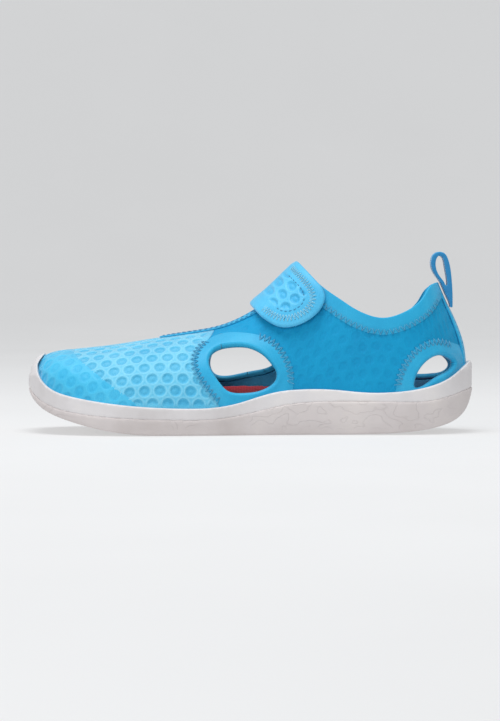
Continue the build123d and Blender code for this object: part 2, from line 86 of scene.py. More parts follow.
SIDE_VENT += [(-2, 18.5), (-7, 18.7), (-10, 19.8), (-12.3, 22.1), (-14.9, 25.6), (-17.2, 29.3)]
INNER_SIDE_VENT = [(-17.6, 33), (-15, 37.4), (-10, 39.6), (-3, 40.2), (4, 39), (9.6, 35.4)]
INNER_SIDE_VENT += [(12, 31), (9, 28.3), (2, 26.5), (-6, 24.8), (-12, 24), (-16.2, 25.2), (-18, 29)]
HEEL_VENT = [(73.4, 20.8), (73.6, 24.6), (75.2, 28.2), (77.6, 31.2), (81, 33.7), (85, 34.8)]
HEEL_VENT += [(88.4, 33.6), (90.9, 31.2), (89.6, 28.6), (85.8, 26.4), (81.4, 24.2), (77.2, 21.6)]
INNER_HEEL_VENT = [(73.4, 26), (75, 29.4), (78, 32.6), (82, 34.8), (86, 34.8), (89.5, 32.6), (91, 29.6)]
INNER_HEEL_VENT += [(89, 26.8), (84, 25.4), (77, 25)]
SIDE_RING = [(-21, 38.8), (-24.2, 32.2), (-22, 26), (-19, 21.5), (-16, 17.5), (-13, 13), (-12, 6)]
SIDE_RING += [(16, 6), (17.9, 15), (18.8, 24), (17.4, 31.6), (14.2, 37), (9.6, 41), (3.5, 43.4)]
SIDE_RING += [(-4, 44.4), (-11, 44.2), (-17, 42.2)]
HEEL_RING = [(64.6, 8), (65.4, 20), (66.6, 26), (69, 31), (72.4, 35.8), (77, 39.4), (82.4, 41.2)]
HEEL_RING += [(88, 40.4), (98, 36), (104, 26), (98, 10), (80, 4)]
TOE_CAP = [(-84, 50), (-80, 37.2), (-71, 29.4), (-62, 22.6), (-52.6, 16), (-47.5, 10), (-45, 4)]
VAMP_SEAM = [(-14, 60), (-15, 50), (-17.5, 43), (-21.5, 38.4), (-24.2, 32.2), (-22, 26), (-19, 21.5)]
VAMP_SEAM += [(-16, 17.5), (-13, 13), (-12, 4)]
FRONT_LEG = [(-19.5, 41.0), (-22.6, 38.2), (-24.4, 33.6), (-23.6, 28.2), (-21.0, 24.0), (-17.8, 19.6)]
FRONT_LEG += [(-13.4, 14.8)]
REAR_LEG = [(4.0, 43.2), (9.0, 41.4), (13.0, 37.6), (16.0, 32.4), (17.8, 27.0), (17.9, 22.4)]
HEEL_SEAM = [(65.7, 21.4), (67.0, 26.6), (69.4, 31.4), (73.2, 36.0), (78.4, 39.4), (84.0, 40.6)]
HEEL_SEAM += [(90.0, 39.0)]
THROAT_APEX, THROAT_REAR_X, THROAT_REAR_Y, THROAT_BAND = (-36.5, 4.6), 30.0, (-7.2, 12.4), 4.5
STRAP_ORIGIN, STRAP_ANGLE, STRAP_WIDTH, STRAP_RIDGE_Y = (-0.5, 57.8), 42.7, 29.0, 2.5
TAB_END = [(0, 8), (3.4, 17.4), (9, 21.6), (16, 23.6), (22.5, 23.3), (27, 20.8), (29, 16)]
ANCHOR_END = 25.5


# ---- curves and the form -----------------------------------------------------------------------
def natural_spline(rows, at_values=None):
    """A function of u: the natural cubic through rows, at whole numbers or at the given values."""
    y = np.asarray(rows, float)
    n = len(y)
    x = np.arange(n, dtype=float) if at_values is None else np.asarray(at_values, float)
    h = np.diff(x)
    a = np.zeros((n, n))
    a[0, 0] = a[-1, -1] = 1
    rhs = np.zeros_like(y)
    for k in range(1, n - 1):
        a[k, k - 1:k + 2] = h[k - 1], 2 * (h[k - 1] + h[k]), h[k]
        rhs[k] = 6 * ((y[k + 1] - y[k]) / h[k] - (y[k] - y[k - 1]) / h[k - 1])
    m = np.linalg.solve(a, rhs)

    def at(u):
        u = np.asarray(u, float)
        i = np.clip(np.searchsorted(x, u, side="right") - 1, 0, n - 2)
        w = h[i][..., None]
        t = ((u - x[i]) / h[i])[..., None]
        bend = w * w * t * (1 - t) / 6 * ((2 - t) * m[i] + (1 + t) * m[i + 1])
        return (1 - t) * y[i] + t * y[i + 1] - bend

    return at


OUTER, INNER = RIBS[:, 0:2], RIBS[:, 2:4]
outer_line = natural_spline(np.vstack([INNER[WRAP:0:-1], OUTER, INNER[-2:-2 - WRAP:-1]]))
inner_line = natural_spline(np.vstack([OUTER[WRAP:0:-1], INNER, OUTER[-2:-2 - WRAP:-1]]))
ridge_line = natural_spline(RIBS[:, 4:9])


def form(u, t):
    """Points of the form, in mm; t is -1 at the outer base, 0 on the ridge, 1 at the inner base."""
    base = np.where((t < 0)[..., None], outer_line(u + WRAP), inner_line(u + WRAP))
    x, y, z, feather, power = np.moveaxis(ridge_line(u), -1, 0)
    angle = (1 - np.abs(t)) * math.pi / 2
    rise = np.sin(angle) ** power
    side = np.maximum(np.cos(angle), 0) ** power
    return np.stack([
        base[..., 0] + (x - base[..., 0]) * rise,
        y + (base[..., 1] - y) * side,
        feather + (z - feather) * rise,
    ], -1)


def normal(u, t, d=0.02):
    u0, u1 = np.clip(u - d, d, LAST - d), np.clip(u + d, d, LAST - d)
    t0, t1 = np.clip(t - d, -1, 1), np.clip(t + d, -1, 1)
    n = np.cross(form(u1, t) - form(u0, t), form(u, t1) - form(u, t0))
    return n / np.linalg.norm(n, axis=-1, keepdims=True)


def off(u, t, distance):
    """Points at a distance outside the form."""
    d = distance[..., None] if isinstance(distance, np.ndarray) else distance
    return form(u, t) + d * normal(u, t)


TABLE_U, TABLE_T = np.linspace(0.02, LAST - 0.02, 321), np.linspace(-1, 1, 401)
_uu, _tt = np.meshgrid(TABLE_U, TABLE_T, indexing="ij")
TABLE_P = form(_uu, _tt)
_step = np.linalg.norm(np.diff(TABLE_P, axis=1), axis=-1)
TABLE_G = np.concatenate([np.zeros((len(TABLE_U), 1)), np.cumsum(_step, axis=1)], axis=1)
TABLE_G -= TABLE_G[:, [len(TABLE_T) // 2]]


def girth(u, t):
    """Length round the form from the ridge, in mm, negative on the outer side."""
    fu = np.clip((u - TABLE_U[0]) / (TABLE_U[1] - TABLE_U[0]), 0, len(TABLE_U) - 1.001)
    ft = np.clip((t + 1) / (TABLE_T[1] - TABLE_T[0]), 0, len(TABLE_T) - 1.001)
    i, j = fu.astype(int), ft.astype(int)
    a, b = fu - i, ft - j
    g = TABLE_G
    return ((1 - a) * (1 - b) * g[i, j] + a * (1 - b) * g[i + 1, j]
            + (1 - a) * b * g[i, j + 1] + a * b * g[i + 1, j + 1])


def curve(points, spacing=0.5, closed=False):
    """A smooth line through points, resampled at an even spacing."""
    p = np.asarray(points, float)
    if closed:
        p = np.vstack([p[-3:], p, p[:4]])
    chord = np.concatenate([[0], np.cumsum(np.linalg.norm(np.diff(p, axis=0), axis=1))])
    at = natural_spline(p, chord)
    s0, s1 = (chord[3], chord[-4]) if closed else (0, chord[-1])
    fine = at(np.linspace(s0, s1, 2000))
    length = np.concatenate([[0], np.cumsum(np.linalg.norm(np.diff(fine, axis=0), axis=1))])
    want = np.linspace(0, length[-1], max(8, int(length[-1] / spacing) + 1))
    out = np.stack([np.interp(want, length, fine[:, k]) for k in range(fine.shape[1])], 1)
    return out[:-1] if closed else out


def distance_in(outline, points, reach=9.0):
    """Signed distance to a closed outline in its plane, positive inside, exact only within reach."""
    p = points.reshape(-1, 2)
    a, b = outline, np.roll(outline, -1, 0)
    lo, hi = outline.min(0) - reach, outline.max(0) + reach
    near = np.all((p > lo) & (p < hi), axis=1)
    result = np.full(len(p), -reach)
    q = p[near]
    best = np.full(len(q), 1e9)
    inside = np.zeros(len(q), bool)
    for k in range(len(a)):
        d = b[k] - a[k]
        w = np.clip(((q - a[k]) @ d) / (d @ d + 1e-12), 0, 1)
        away = q - a[k] - w[:, None] * d
        best = np.minimum(best, (away * away).sum(1))
        if a[k, 1] != b[k, 1]:
            crosses = (a[k, 1] > q[:, 1]) != (b[k, 1] > q[:, 1])
            inside ^= crosses & (q[:, 0] < a[k, 0] + (q[:, 1] - a[k, 1]) * d[0] / d[1])
    result[near] = np.sqrt(best) * np.where(inside, 1, -1)
    return result.reshape(points.shape[:-1])


def side_view(p):
    return p[..., [0, 2]]


FAR = 130.0  # mm, beyond the shoe every way


def region(line, corners):
    """The closed side-view outline of a smooth line and straight far corners."""
    return np.vstack([curve(line, 1.0), corners])


ABOVE_RAND = region(RAND, [(FAR, RAND[-1][1]), (FAR, FAR), (RAND[0][0], FAR)])
BELOW_COLLAR = region(COLLAR, [(FAR, COLLAR[-1][1]), (FAR, -FAR), (-FAR, -FAR), (-FAR, COLLAR[0][1])])
VENTS = {
    "outer_side": curve(SIDE_VENT, 1.0, True), "inner_side": curve(INNER_SIDE_VENT, 1.0, True),
    "outer_heel": curve(HEEL_VENT, 1.0, True), "inner_heel": curve(INNER_HEEL_VENT, 1.0, True),
}
RINGS = {"side": curve(SIDE_RING, 1.2, True), "heel": curve(HEEL_RING, 1.2, True)}
VAMP_FRONT = np.vstack([curve(VAMP_SEAM, 1.2), [(-110, 4), (-110, 60)]])
TOE_FRONT = np.vstack([curve(TOE_CAP, 1.2), [(-110, 4), (-110, 50)]])


def throat_outline(grow):
    (ax, ay), rx, (y0, y1) = THROAT_APEX, THROAT_REAR_X, THROAT_REAR_Y
    tip = 1.6 + grow
    front = curve([(ax + 8, ay - tip), (ax - grow, ay), (ax + 8, ay + tip)], 0.8)
    return np.vstack([[(rx, y0 - grow)], front, [(rx, y1 + grow)]])


def rand_distance(p):
    return distance_in(ABOVE_RAND, side_view(p))


def collar_distance(p):
    """Distance below the collar's cut edge, which is lower on the inner side."""
    q = side_view(p).copy()
    q[..., 1] += COLLAR_TILT * p[..., 1]
    return distance_in(BELOW_COLLAR, q, 14.0)


def vent_distance(p, which, side):
    """Distance outside a vent, huge on the other side of the shoe."""
    d = -distance_in(VENTS[which], side_view(p))
    return np.where(p[..., 1] * side > 0, d, 9.0)


def vents_distance(p):
    d = 9.0
    for which, side in (("outer_side", -1), ("inner_side", 1), ("outer_heel", -1), ("inner_heel", 1)):
        d = np.minimum(d, vent_distance(p, which, side))
    return d


def throat_distance(p, grow=0.0):
    """Distance outside the throat's V, widened by grow."""
    return -distance_in(throat_outline(grow), p[..., :2])


def strap_frame(p):
    """The strap's own side view: a up along the ridge, b down and back from it."""
    turn = math.radians(STRAP_ANGLE)
    x, z = p[..., 0] - STRAP_ORIGIN[0], p[..., 2] - STRAP_ORIGIN[1]
    a = x * math.cos(turn) + z * math.sin(turn)
    b = x * math.sin(turn) - z * math.cos(turn)
    return np.stack([a, b], -1)


# ---- meshes ------------------------------------------------------------------------------------
class Build:
    """Collects shells for one object: vertices in mm, faces, material numbers and cloth coordinates."""

    def __init__(self):
        self.verts, self.cloth, self.faces, self.materials, self.count = [], [], [], [], 0

    def add(self, verts, faces, material=0, cloth=None):
        verts = np.asarray(verts, float).reshape(-1, 3)
        parts = faces if isinstance(faces, list) else [(faces, material)]
        for quads, number in parts:
            self.faces.append(np.asarray(quads).reshape(-1, 4) + self.count)
            self.materials.append(np.full(len(self.faces[-1]), number))
        self.verts.append(verts)
        self.cloth.append(np.zeros((len(verts), 3)) if cloth is None else cloth)
        self.count += len(verts)

    def object(self, name, materials):
        mesh = bpy.data.meshes.new(name)
        verts, faces = np.vstack(self.verts) * MM, np.vstack(self.faces)
        mesh.vertices.add(len(verts))
        mesh.vertices.foreach_set("co", verts.ravel().astype(np.float32))
        mesh.loops.add(faces.size)
        mesh.loops.foreach_set("vertex_index", faces.ravel().astype(np.int32))
        mesh.polygons.add(len(faces))
        mesh.polygons.foreach_set("loop_start", np.arange(0, faces.size, 4, dtype=np.int32))
        mesh.polygons.foreach_set("loop_total", np.full(len(faces), 4, np.int32))
        mesh.polygons.foreach_set("material_index", np.concatenate(self.materials).astype(np.int32))
        mesh.update(calc_edges=True)
        mesh.polygons.foreach_set("use_smooth", np.ones(len(faces), bool))
        cloth = mesh.attributes.new("cloth", "FLOAT_VECTOR", "POINT")
        cloth.data.foreach_set("vector", np.vstack(self.cloth).ravel().astype(np.float32))
        for material in materials:
            mesh.materials.append(material)
        obj = bpy.data.objects.new(name + "_visual", mesh)
        bpy.context.scene.collection.objects.link(obj)
        return obj


_pace = np.array([form(TABLE_U, np.full_like(TABLE_U, t)) for t in (-0.6, 0.0, 0.6)])
_pace = np.linalg.norm(np.diff(_pace, axis=1), axis=-1).mean(0)
TABLE_S = np.concatenate([[0], np.cumsum(_pace)])  # length along the form at each rib


def grid_of(u0, u1, t0, t1, step):
    """An even grid of the form between two ribs and two places round it."""
    s0, s1 = np.interp([u0, u1], TABLE_U, TABLE_S)
    us = np.interp(np.linspace(s0, s1, int((s1 - s0) / step) + 2), TABLE_S, TABLE_U)
    rows = [girth(np.full(len(TABLE_T), u), TABLE_T) for u in us]
    spans = [np.interp([t0, t1], TABLE_T, row) for row in rows]
    count = int(max(b - a for a, b in spans) / step) + 2
    T = np.array([np.interp(np.linspace(a, b, count), row, TABLE_T) for (a, b), row in zip(spans, rows)])
    return np.repeat(us[:, None], count, 1), T


def inset_of(outline, p):
    """Distance inside an outline of (distance, edge radius) pairs, less the radius, and that radius."""
    pairs = outline(p)
    d = np.stack([pair[0] - pair[1] for pair in pairs])
    best = d.argmin(0)
    radius = np.choose(best, [np.broadcast_to(pair[1], best.shape) for pair in pairs])
    return d.min(0), radius


def panel(build, grid, outline, top, bottom, level=0.0, relief=None, materials=(0, 0, 0), steps=5):
    """A shell of the form: top and bottom are numbers or functions of the point, its edges are round.
    materials are those of its top, its edge and its underside."""
    U, T = grid
    n, m = U.shape
    flat = off(U, T, level)
    s, _ = inset_of(outline, flat)
    spacing = np.median(np.linalg.norm(np.diff(flat, axis=0), axis=-1))
    ok = s > -0.4 * spacing
    keep = ok[:-1, :-1] & ok[1:, :-1] & ok[:-1, 1:] & ok[1:, 1:]
    for _ in range(8):  # cells that meet others only at a corner go
        w = np.pad(keep, 1)
        a, b, c, d = w[:-1, :-1], w[1:, :-1], w[:-1, 1:], w[1:, 1:]
        pinch = (a & d & ~b & ~c) | (b & c & ~a & ~d)
        if not pinch.any():
            break
        for i, j in zip(*np.nonzero(pinch)):
            keep[max(i - 1, 0):i + 1, max(j - 1, 0):j + 1] = False
    number = np.arange(n * m).reshape(n, m)
    cells = np.stack([number[:-1, :-1], number[1:, :-1], number[1:, 1:], number[:-1, 1:]], -1)[keep]
    edges = np.concatenate([cells[:, [k, (k + 1) % 4]] for k in range(4)])
    twin = np.isin(edges[:, 0] * n * m + edges[:, 1], edges[:, 1] * n * m + edges[:, 0])
    used = np.unique(cells)
    lookup = np.full(n * m, -1)
    lookup[used] = np.arange(len(used))
    cells, rim = lookup[cells], lookup[edges[~twin]]
    u, t = U.ravel()[used], T.ravel()[used]
    edge = np.unique(rim[:, 0])
    after, before = np.full(len(u), -1), np.full(len(u), -1)
    after[rim[:, 0]], before[rim[:, 1]] = rim[:, 1], rim[:, 0]
    near = edge[np.abs(s.ravel()[used][edge]) < 1.5 * spacing]
    for _ in range(4):  # the cut edge is drawn onto the outline
        p = off(u[near], t[near], level)
        value = inset_of(outline, p)[0]
        du, dt = 0.01, 0.004
        pu, pt = off(u[near] + du, t[near], level), off(u[near], t[near] + dt * np.sign(-t[near]), level)
        lu, lt = np.linalg.norm(pu - p, axis=-1) + 1e-6, np.linalg.norm(pt - p, axis=-1) + 1e-6
        gu = (inset_of(outline, pu)[0] - value) / lu
        gt = (inset_of(outline, pt)[0] - value) / lt
        size = np.maximum(gu * gu + gt * gt, 0.05)
        reach = 0.7 * spacing
        move = np.clip(value * gu / size, -reach, reach) / lu * du
        u[near] = np.clip(u[near] - move, 0.03, LAST - 0.03)
        move = np.clip(value * gt / size, -reach, reach) / lt * dt * np.sign(-t[near])
        t[near] = np.clip(t[near] - move, -1, 1)
    p, nrm = form(u, t), normal(u, t)
    ref = p + level * nrm
    inset, radius = inset_of(outline, ref)
    high = top(ref) if callable(top) else np.full(len(u), float(top))
    low = bottom(ref) if callable(bottom) else np.full(len(u), float(bottom))
    along, g = np.interp(u, TABLE_U, TABLE_S), girth(u, t)
    lift = np.zeros(len(u)) if relief is None else relief(ref, along, g, inset + radius)
    way = p[after[edge]] - p[before[edge]]
    outward = np.cross(way, nrm[edge])
    outward /= np.linalg.norm(outward, axis=1, keepdims=True) + 1e-9
    middle, half = (high + low)[edge] / 2, (high - low)[edge] / 2
    cloth = np.stack([along, g, lift], 1)
    verts, cloths = [p + (high + lift)[:, None] * nrm, p + low[:, None] * nrm], [cloth, cloth]
    for k in range(1, steps + 1):
        angle = math.pi * k / (steps + 1)
        rise = middle + half * math.cos(angle) + lift[edge] * max(math.cos(angle), 0)
        reach = radius[edge] * math.sin(angle)
        verts.append(p[edge] + rise[:, None] * nrm[edge] + reach[:, None] * outward)
        cloths.append(cloth[edge] + [0, radius.max() * k / steps, 0])
    place = np.full(len(u), -1)
    place[edge] = np.arange(len(edge))
    rows = [np.arange(len(u)), *[2 * len(u) + k * len(edge) + place for k in range(steps)],
            len(u) + np.arange(len(u))]
    strips = [np.stack([a[rim[:, 1]], a[rim[:, 0]], b[rim[:, 0]], b[rim[:, 1]]], -1)
              for a, b in zip(rows, rows[1:])]
    faces = [(cells, materials[0]), (np.vstack(strips), materials[1]),
             (cells[:, ::-1] + len(u), materials[2])]
    build.add(np.vstack(verts), faces, cloth=np.vstack(cloths))


def locate(target, view, t0, t1, level=0.0, u0=0.3, u1=LAST - 0.3):
    """The form's (u, t) whose view, at a distance from the form, is each target point."""
    us = TABLE_U[(TABLE_U > u0) & (TABLE_U < u1)][::2]
    ts = TABLE_T[(TABLE_T > t0) & (TABLE_T < t1)][::3]
    uu, tt = [a.ravel() for a in np.meshgrid(us, ts, indexing="ij")]
    seen = view(off(uu, tt, level))
    near = np.array([np.argmin(((seen - q) ** 2).sum(1)) for q in target])
    u, t = uu[near], tt[near]
    for _ in range(8):
        q = view(off(u, t, level))
        qu = (view(off(u + 0.004, t, level)) - q) / 0.004
        qt = (view(off(u, t + 0.002, level)) - q) / 0.002
        d = target - q
        det = qu[:, 0] * qt[:, 1] - qu[:, 1] * qt[:, 0]
        det = np.where(np.abs(det) < 1e-3, 1e-3, det)
        move_u = (d[:, 0] * qt[:, 1] - d[:, 1] * qt[:, 0]) / det
        move_t = (qu[:, 0] * d[:, 1] - qu[:, 1] * d[:, 0]) / det
        u = np.clip(u + np.clip(move_u, -0.3, 0.3), u0, u1)
        t = np.clip(t + np.clip(move_t, -0.04, 0.04), t0, t1)
    return u, t


def tube(build, line, radius, material, sides=5):
    """A thread through a line of points, in mm."""
    p = np.asarray(line, float)
    d = np.gradient(p, axis=0)
    d /= np.linalg.norm(d, axis=1, keepdims=True) + 1e-9
    a = np.cross(d, (0.31, 0.23, 0.92))
    a /= np.linalg.norm(a, axis=1, keepdims=True) + 1e-9
    b = np.cross(d, a)
    turns = 2 * math.pi * np.arange(sides) / sides
    ring = np.cos(turns)[:, None] * a[:, None] + np.sin(turns)[:, None] * b[:, None]
    rings = p[:, None] + radius * ring
    i, k = np.arange(len(p) - 1)[:, None] * sides, np.arange(sides)[None, :]
    k1 = (k + 1) % sides
    quads = np.stack([i + k, i + k1, i + sides + k1, i + sides + k], -1).reshape(-1, 4)
    length = np.concatenate([[0], np.cumsum(np.linalg.norm(np.diff(p, axis=0), axis=1))])
    cloth = np.stack([np.repeat(length, sides), np.tile(turns, len(p)), np.zeros(len(p) * sides)], 1)
    build.add(rings.reshape(-1, 3), quads, material, cloth)


class Path:
    """A line on the form for stitches, with its points and normals by length in mm."""

    def __init__(self, u, t, level):
        self.p, self.n = off(u, t, level), normal(u, t)
        self.s = np.concatenate([[0], np.cumsum(np.linalg.norm(np.diff(self.p, axis=0), axis=1))])

    def at(self, s):
        p, n = (np.stack([np.interp(s, self.s, a[:, k]) for k in range(3)], 1) for a in (self.p, self.n))
        d = np.stack([np.interp(s + 0.2, self.s, self.p[:, k]) for k in range(3)], 1)
        d -= np.stack([np.interp(s - 0.2, self.s, self.p[:, k]) for k in range(3)], 1)
        d /= np.linalg.norm(d, axis=1, keepdims=True) + 1e-9
        return p, n, np.cross(n, d)


ARCH = ((0.0, -0.9), (0.1, 0.2), (0.5, 0.7), (0.9, 0.2), (1.0, -0.9))


def zigzag(build, path, width, pitch, thread, material):
    """A zigzag seam: arched bars from one side of the line to the other."""
    count = int(path.s[-1] / (pitch / 2))
    s = np.linspace(0, path.s[-1], count + 1)
    p, n, across = path.at(s)
    side = np.where(np.arange(count + 1) % 2 == 0, 0.5, -0.5)[:, None] * width
    hole = p + across * side
    line = []
    for i in range(count):
        for w, rise in ARCH[:-1] if i < count - 1 else ARCH:
            up = (n[i] * (1 - w) + n[i + 1] * w) * rise
            line.append(hole[i] * (1 - w) + hole[i + 1] * w + up * thread)
    tube(build, line, thread, material)


def running(build, path, length, gap, thread, material):
    """A straight running stitch of separate arched threads."""
    for a in np.arange(0.4, path.s[-1] - length, length + gap):
        p, n, _ = path.at(a + np.array([w for w, _ in ARCH]) * length)
        rise = np.array([r for _, r in ARCH])[:, None] * thread
        tube(build, p + n * rise, thread, material)


def smooth_step(x):
    x = np.clip(x, 0, 1)
    return x * x * (3 - 2 * x)


def cell_distance(x, y, pitch, row):
    """Distance to the nearest centre of a staggered grid of cells."""
    best = np.full(np.shape(x), 1e9)
    first = np.floor(y / row)
    for j in (first, first + 1):
        shift = np.mod(j, 2) * pitch / 2
        i = np.round((x - shift) / pitch)
        best = np.minimum(best, np.hypot(x - shift - i * pitch, y - j * row))
    return best


def dimple(r, radius, depth):
    """A round recess with a soft wall, a low crown in its middle and a raised lip."""
    bowl = -depth * smooth_step((radius - r) / 0.9)
    crown = 0.5 * depth * np.exp(-((r / (0.42 * radius)) ** 2))
    lip = 0.3 * depth * np.exp(-(((r - radius - 0.25) / 0.4) ** 2))
    return bowl + crown + lip


def remeshed(name, nodes, voxel, rounds, materials):
    """A smoothed copy of CAD nodes with softened edges, as one new object."""
    joined = bpy.data.meshes.new(name)
    verts, faces, start = [], [], 0
    for node in nodes:
        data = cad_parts[node].data
        co = np.zeros(len(data.vertices) * 3, np.float32)
        data.vertices.foreach_get("co", co)
        verts.append(co.reshape(-1, 3))
        faces += [[start + v for v in f.vertices] for f in data.polygons]
        start += len(data.vertices)
    joined.from_pydata(np.vstack(verts).tolist(), [], faces)
    obj = bpy.data.objects.new(name, joined)
    bpy.context.scene.collection.objects.link(obj)
    weld = obj.modifiers.new("weld", "WELD")
    weld.merge_threshold = 1e-6
    remesh = obj.modifiers.new("remesh", "REMESH")
    remesh.mode, remesh.voxel_size = "VOXEL", voxel * MM
    smooth = obj.modifiers.new("smooth", "SMOOTH")
    smooth.factor, smooth.iterations = 0.5, rounds
    done = bpy.data.meshes.new_from_object(obj.evaluated_get(bpy.context.evaluated_depsgraph_get()))
    obj.modifiers.clear()
    obj.data = done
    done.name = name
    done.materials.clear()
    for material in materials:
        done.materials.append(material)
    done.polygons.foreach_set("use_smooth", np.ones(len(done.polygons), bool))
    return obj


# ---- materials ---------------------------------------------------------------------------------
def srgb(r, g, b):
    return *(c / 255 / 12.92 if c <= 10 else ((c / 255 + 0.055) / 1.055) ** 2.4 for c in (r, g, b)), 1


class Finish:
    """A Principled material under construction."""

    def __init__(self, name, roughness, specular=0.4, sheen=0.0, sheen_roughness=0.5, tint=(1, 1, 1, 1)):
        self.material = bpy.data.materials.new(name)
        self.material.use_nodes = True
        self.nodes, self.links = self.material.node_tree.nodes, self.material.node_tree.links
        self.shader = self.nodes["Principled BSDF"]
        self.shader.inputs["Roughness"].default_value = roughness
        self.shader.inputs["Specular IOR Level"].default_value = specular
        self.shader.inputs["Sheen Weight"].default_value = sheen
        self.shader.inputs["Sheen Roughness"].default_value = sheen_roughness
        self.shader.inputs["Sheen Tint"].default_value = tint

    def add(self, kind, settings=None, **inputs):
        """A node; inputs are sockets to link or values, with _ for a space in their names."""
        node = self.nodes.new("ShaderNode" + kind)
        for key, value in (settings or {}).items():
            setattr(node, key, value)
        for key, value in inputs.items():
            self.feed(node.inputs[key.replace("_", " ")], value)
        return node.outputs[0]

    def feed(self, socket, value):
        """Links a socket, or sets a value."""
        if isinstance(value, bpy.types.NodeSocket):
            self.links.new(value, socket)
        else:
            socket.default_value = value

    def math(self, operation, a, b=0.0):
        node = self.nodes.new("ShaderNodeMath")
        node.operation = operation
        self.feed(node.inputs[0], a)
        self.feed(node.inputs[1], b)
        return node.outputs[0]

    def cloth(self):
        """Along the cloth, round it, and its height, in mm."""
        return self.add("Attribute", {"attribute_name": "cloth"}).node.outputs["Vector"]

    def place(self, scale=(1, 1, 1), cloth=True):
        """Coordinates in mm times scale: along the cloth, or in the object's own space."""
        if cloth:
            source = self.cloth()
        else:
            source = self.add("TexCoord").node.outputs["Object"]
            scale = tuple(1000 * s for s in scale)
        return self.add("Mapping", None, Vector=source, Scale=scale)

    def noise(self, place, scale, detail=3.0, rough=0.55):
        texture = self.add("TexNoise", None, Vector=place, Scale=scale, Detail=detail, Roughness=rough)
        return texture.node.outputs["Fac"]

    def wave(self, direction, place, scale, distortion, **more):
        texture = self.add("TexWave", {"bands_direction": direction}, Vector=place, Scale=scale,
                           Distortion=distortion, **more)
        return texture.node.outputs["Fac"]

    def ramp(self, factor, stops):
        node = self.nodes.new("ShaderNodeValToRGB")
        elements = node.color_ramp.elements
        while len(elements) < len(stops):
            elements.new(0.5)
        for element, (position, colour) in zip(elements, stops):
            element.position, element.color = position, colour
        self.links.new(factor, node.inputs[0])
        return node.outputs[0]

    def span(self, value, low, high, to_low, to_high):
        return self.add("MapRange", None, Value=value, From_Min=low, From_Max=high, To_Min=to_low,
                        To_Max=to_high)

    def mix(self, factor, a, b):
        node = self.nodes.new("ShaderNodeMix")
        node.data_type = "RGBA"
        for number, value in ((0, factor), (6, a), (7, b)):  # the factor and the two colour sockets
            self.feed(node.inputs[number], value)
        return node.outputs[2]

    def colour(self, value):
        self.links.new(value, self.shader.inputs["Base Color"])

    def roughness(self, value):
        self.links.new(value, self.shader.inputs["Roughness"])

    def bump(self, height, distance_mm, strength=1.0):
        bump = self.add("Bump", None, Height=height, Distance=distance_mm * MM, Strength=strength)
        self.links.new(bump, self.shader.inputs["Normal"])


def knit(finish, pitch=0.55):
    """Height of a fine jersey: rows of small loops with uneven tension."""
    place = finish.place((1 / pitch,) * 3)
    rows = finish.wave("Y", place, 0.32, 1.2, Detail=1.0, Detail_Scale=1.5)
    loops = finish.wave("X", place, 0.22, 2.0, Detail=1.0, Detail_Scale=2.0)
    return finish.math("ADD", finish.math("MULTIPLY", rows, 0.65), finish.math("MULTIPLY", loops, 0.35))


def jersey(name, dark, base, light, sheen=0.35, roughness=0.62, depth=0.07, specular=0.3):
    """Laminated neoprene's stretch fabric face: fine horizontal ribs, uneven dye, a soft sheen, painted
    highlight on raised relief and painted shade in its recesses.
    """
    f = Finish(name, roughness, specular, sheen, 0.45, srgb(200, 236, 255))
    rows = knit(f)
    place = f.place()
    patch = f.noise(place, 0.05, 3.0)
    fleck = f.noise(place, 1.7, 2.0, 0.7)
    mottled = f.math("ADD", f.math("MULTIPLY", patch, 0.55), f.math("MULTIPLY", fleck, 0.45))
    colour = f.ramp(mottled, [(0.22, dark), (0.5, base), (0.80, light)])
    height = f.add("SeparateXYZ", None, Vector=f.cloth()).node.outputs["Z"]
    # painted highlight on raised relief and painted shade in the sunk dimples: the relief height mixes
    # the colour towards light and towards dark
    raised = f.span(height, -0.05, 0.16, 0.0, 1.0)
    painted_shade_sunk = f.span(height, -0.1, -0.5, 0.0, 1.0)
    colour = f.mix(f.math("MULTIPLY", raised, 0.55), colour, light)
    colour = f.mix(f.math("MULTIPLY", painted_shade_sunk, 0.35), colour, dark)
    colour = f.mix(f.math("MULTIPLY", rows, 0.10), colour, dark)
    f.colour(colour)
    f.roughness(f.span(fleck, 0.2, 0.8, roughness - 0.08, roughness + 0.1))
    f.bump(rows, depth)
    return f.material


def rubber(name, base, shade, warm, engraved=False, roughness=0.5):
    """Cured rubber: faint mould grain and specks."""
    f = Finish(name, roughness, 0.42, 0.0)
    place = f.place(cloth=False)
    patch = f.noise(place, 0.03, 4.0)
    grain = f.noise(place, 2.2, 4.0, 0.7)
    colour = f.ramp(patch, [(0.32, shade), (0.55, base), (0.75, warm)])
    specks = f.add("TexVoronoi", {"feature": "F1"}, Vector=place, Scale=0.9, Randomness=1.0)
    speck = f.span(specks.node.outputs["Distance"], 0.05, 0.10, 1.0, 0.0)
    colour = f.mix(f.math("MULTIPLY", speck, 0.18), colour, shade)
    height = grain
    if engraved:
        up = f.add("SeparateXYZ", None, Vector=place).node.outputs["Z"]
        sketch = f.noise(f.place((0.055, 0.02, 0.085), False), 1.0, 2.2, 0.5).node.outputs["Fac"]
        level = f.math("FRACT", f.math("MULTIPLY", sketch, 9.0))
        line = f.span(f.math("ABSOLUTE", f.math("SUBTRACT", level, 0.5)), 0.02, 0.075, 1.0, 0.0)
        patches = f.span(f.noise(place, 0.04, 1.0), 0.42, 0.50, 0.0, 1.0)
        line = f.math("MULTIPLY", line, patches)
        line = f.math("MULTIPLY", line, f.span(up, 2.0, 3.5, 0.0, 1.0))
        # the engraved lines are also darkened in colour: painted shade in the grooves
        colour = f.mix(f.math("MULTIPLY", line, 0.10), colour, srgb(120, 112, 112))
        height = f.math("SUBTRACT", f.math("MULTIPLY", grain, 0.15), line)
    f.colour(colour)
    f.roughness(f.span(grain, 0.25, 0.75, roughness - 0.07, roughness + 0.12))
    f.bump(height, 0.09 if engraved else 0.05)
    return f.material


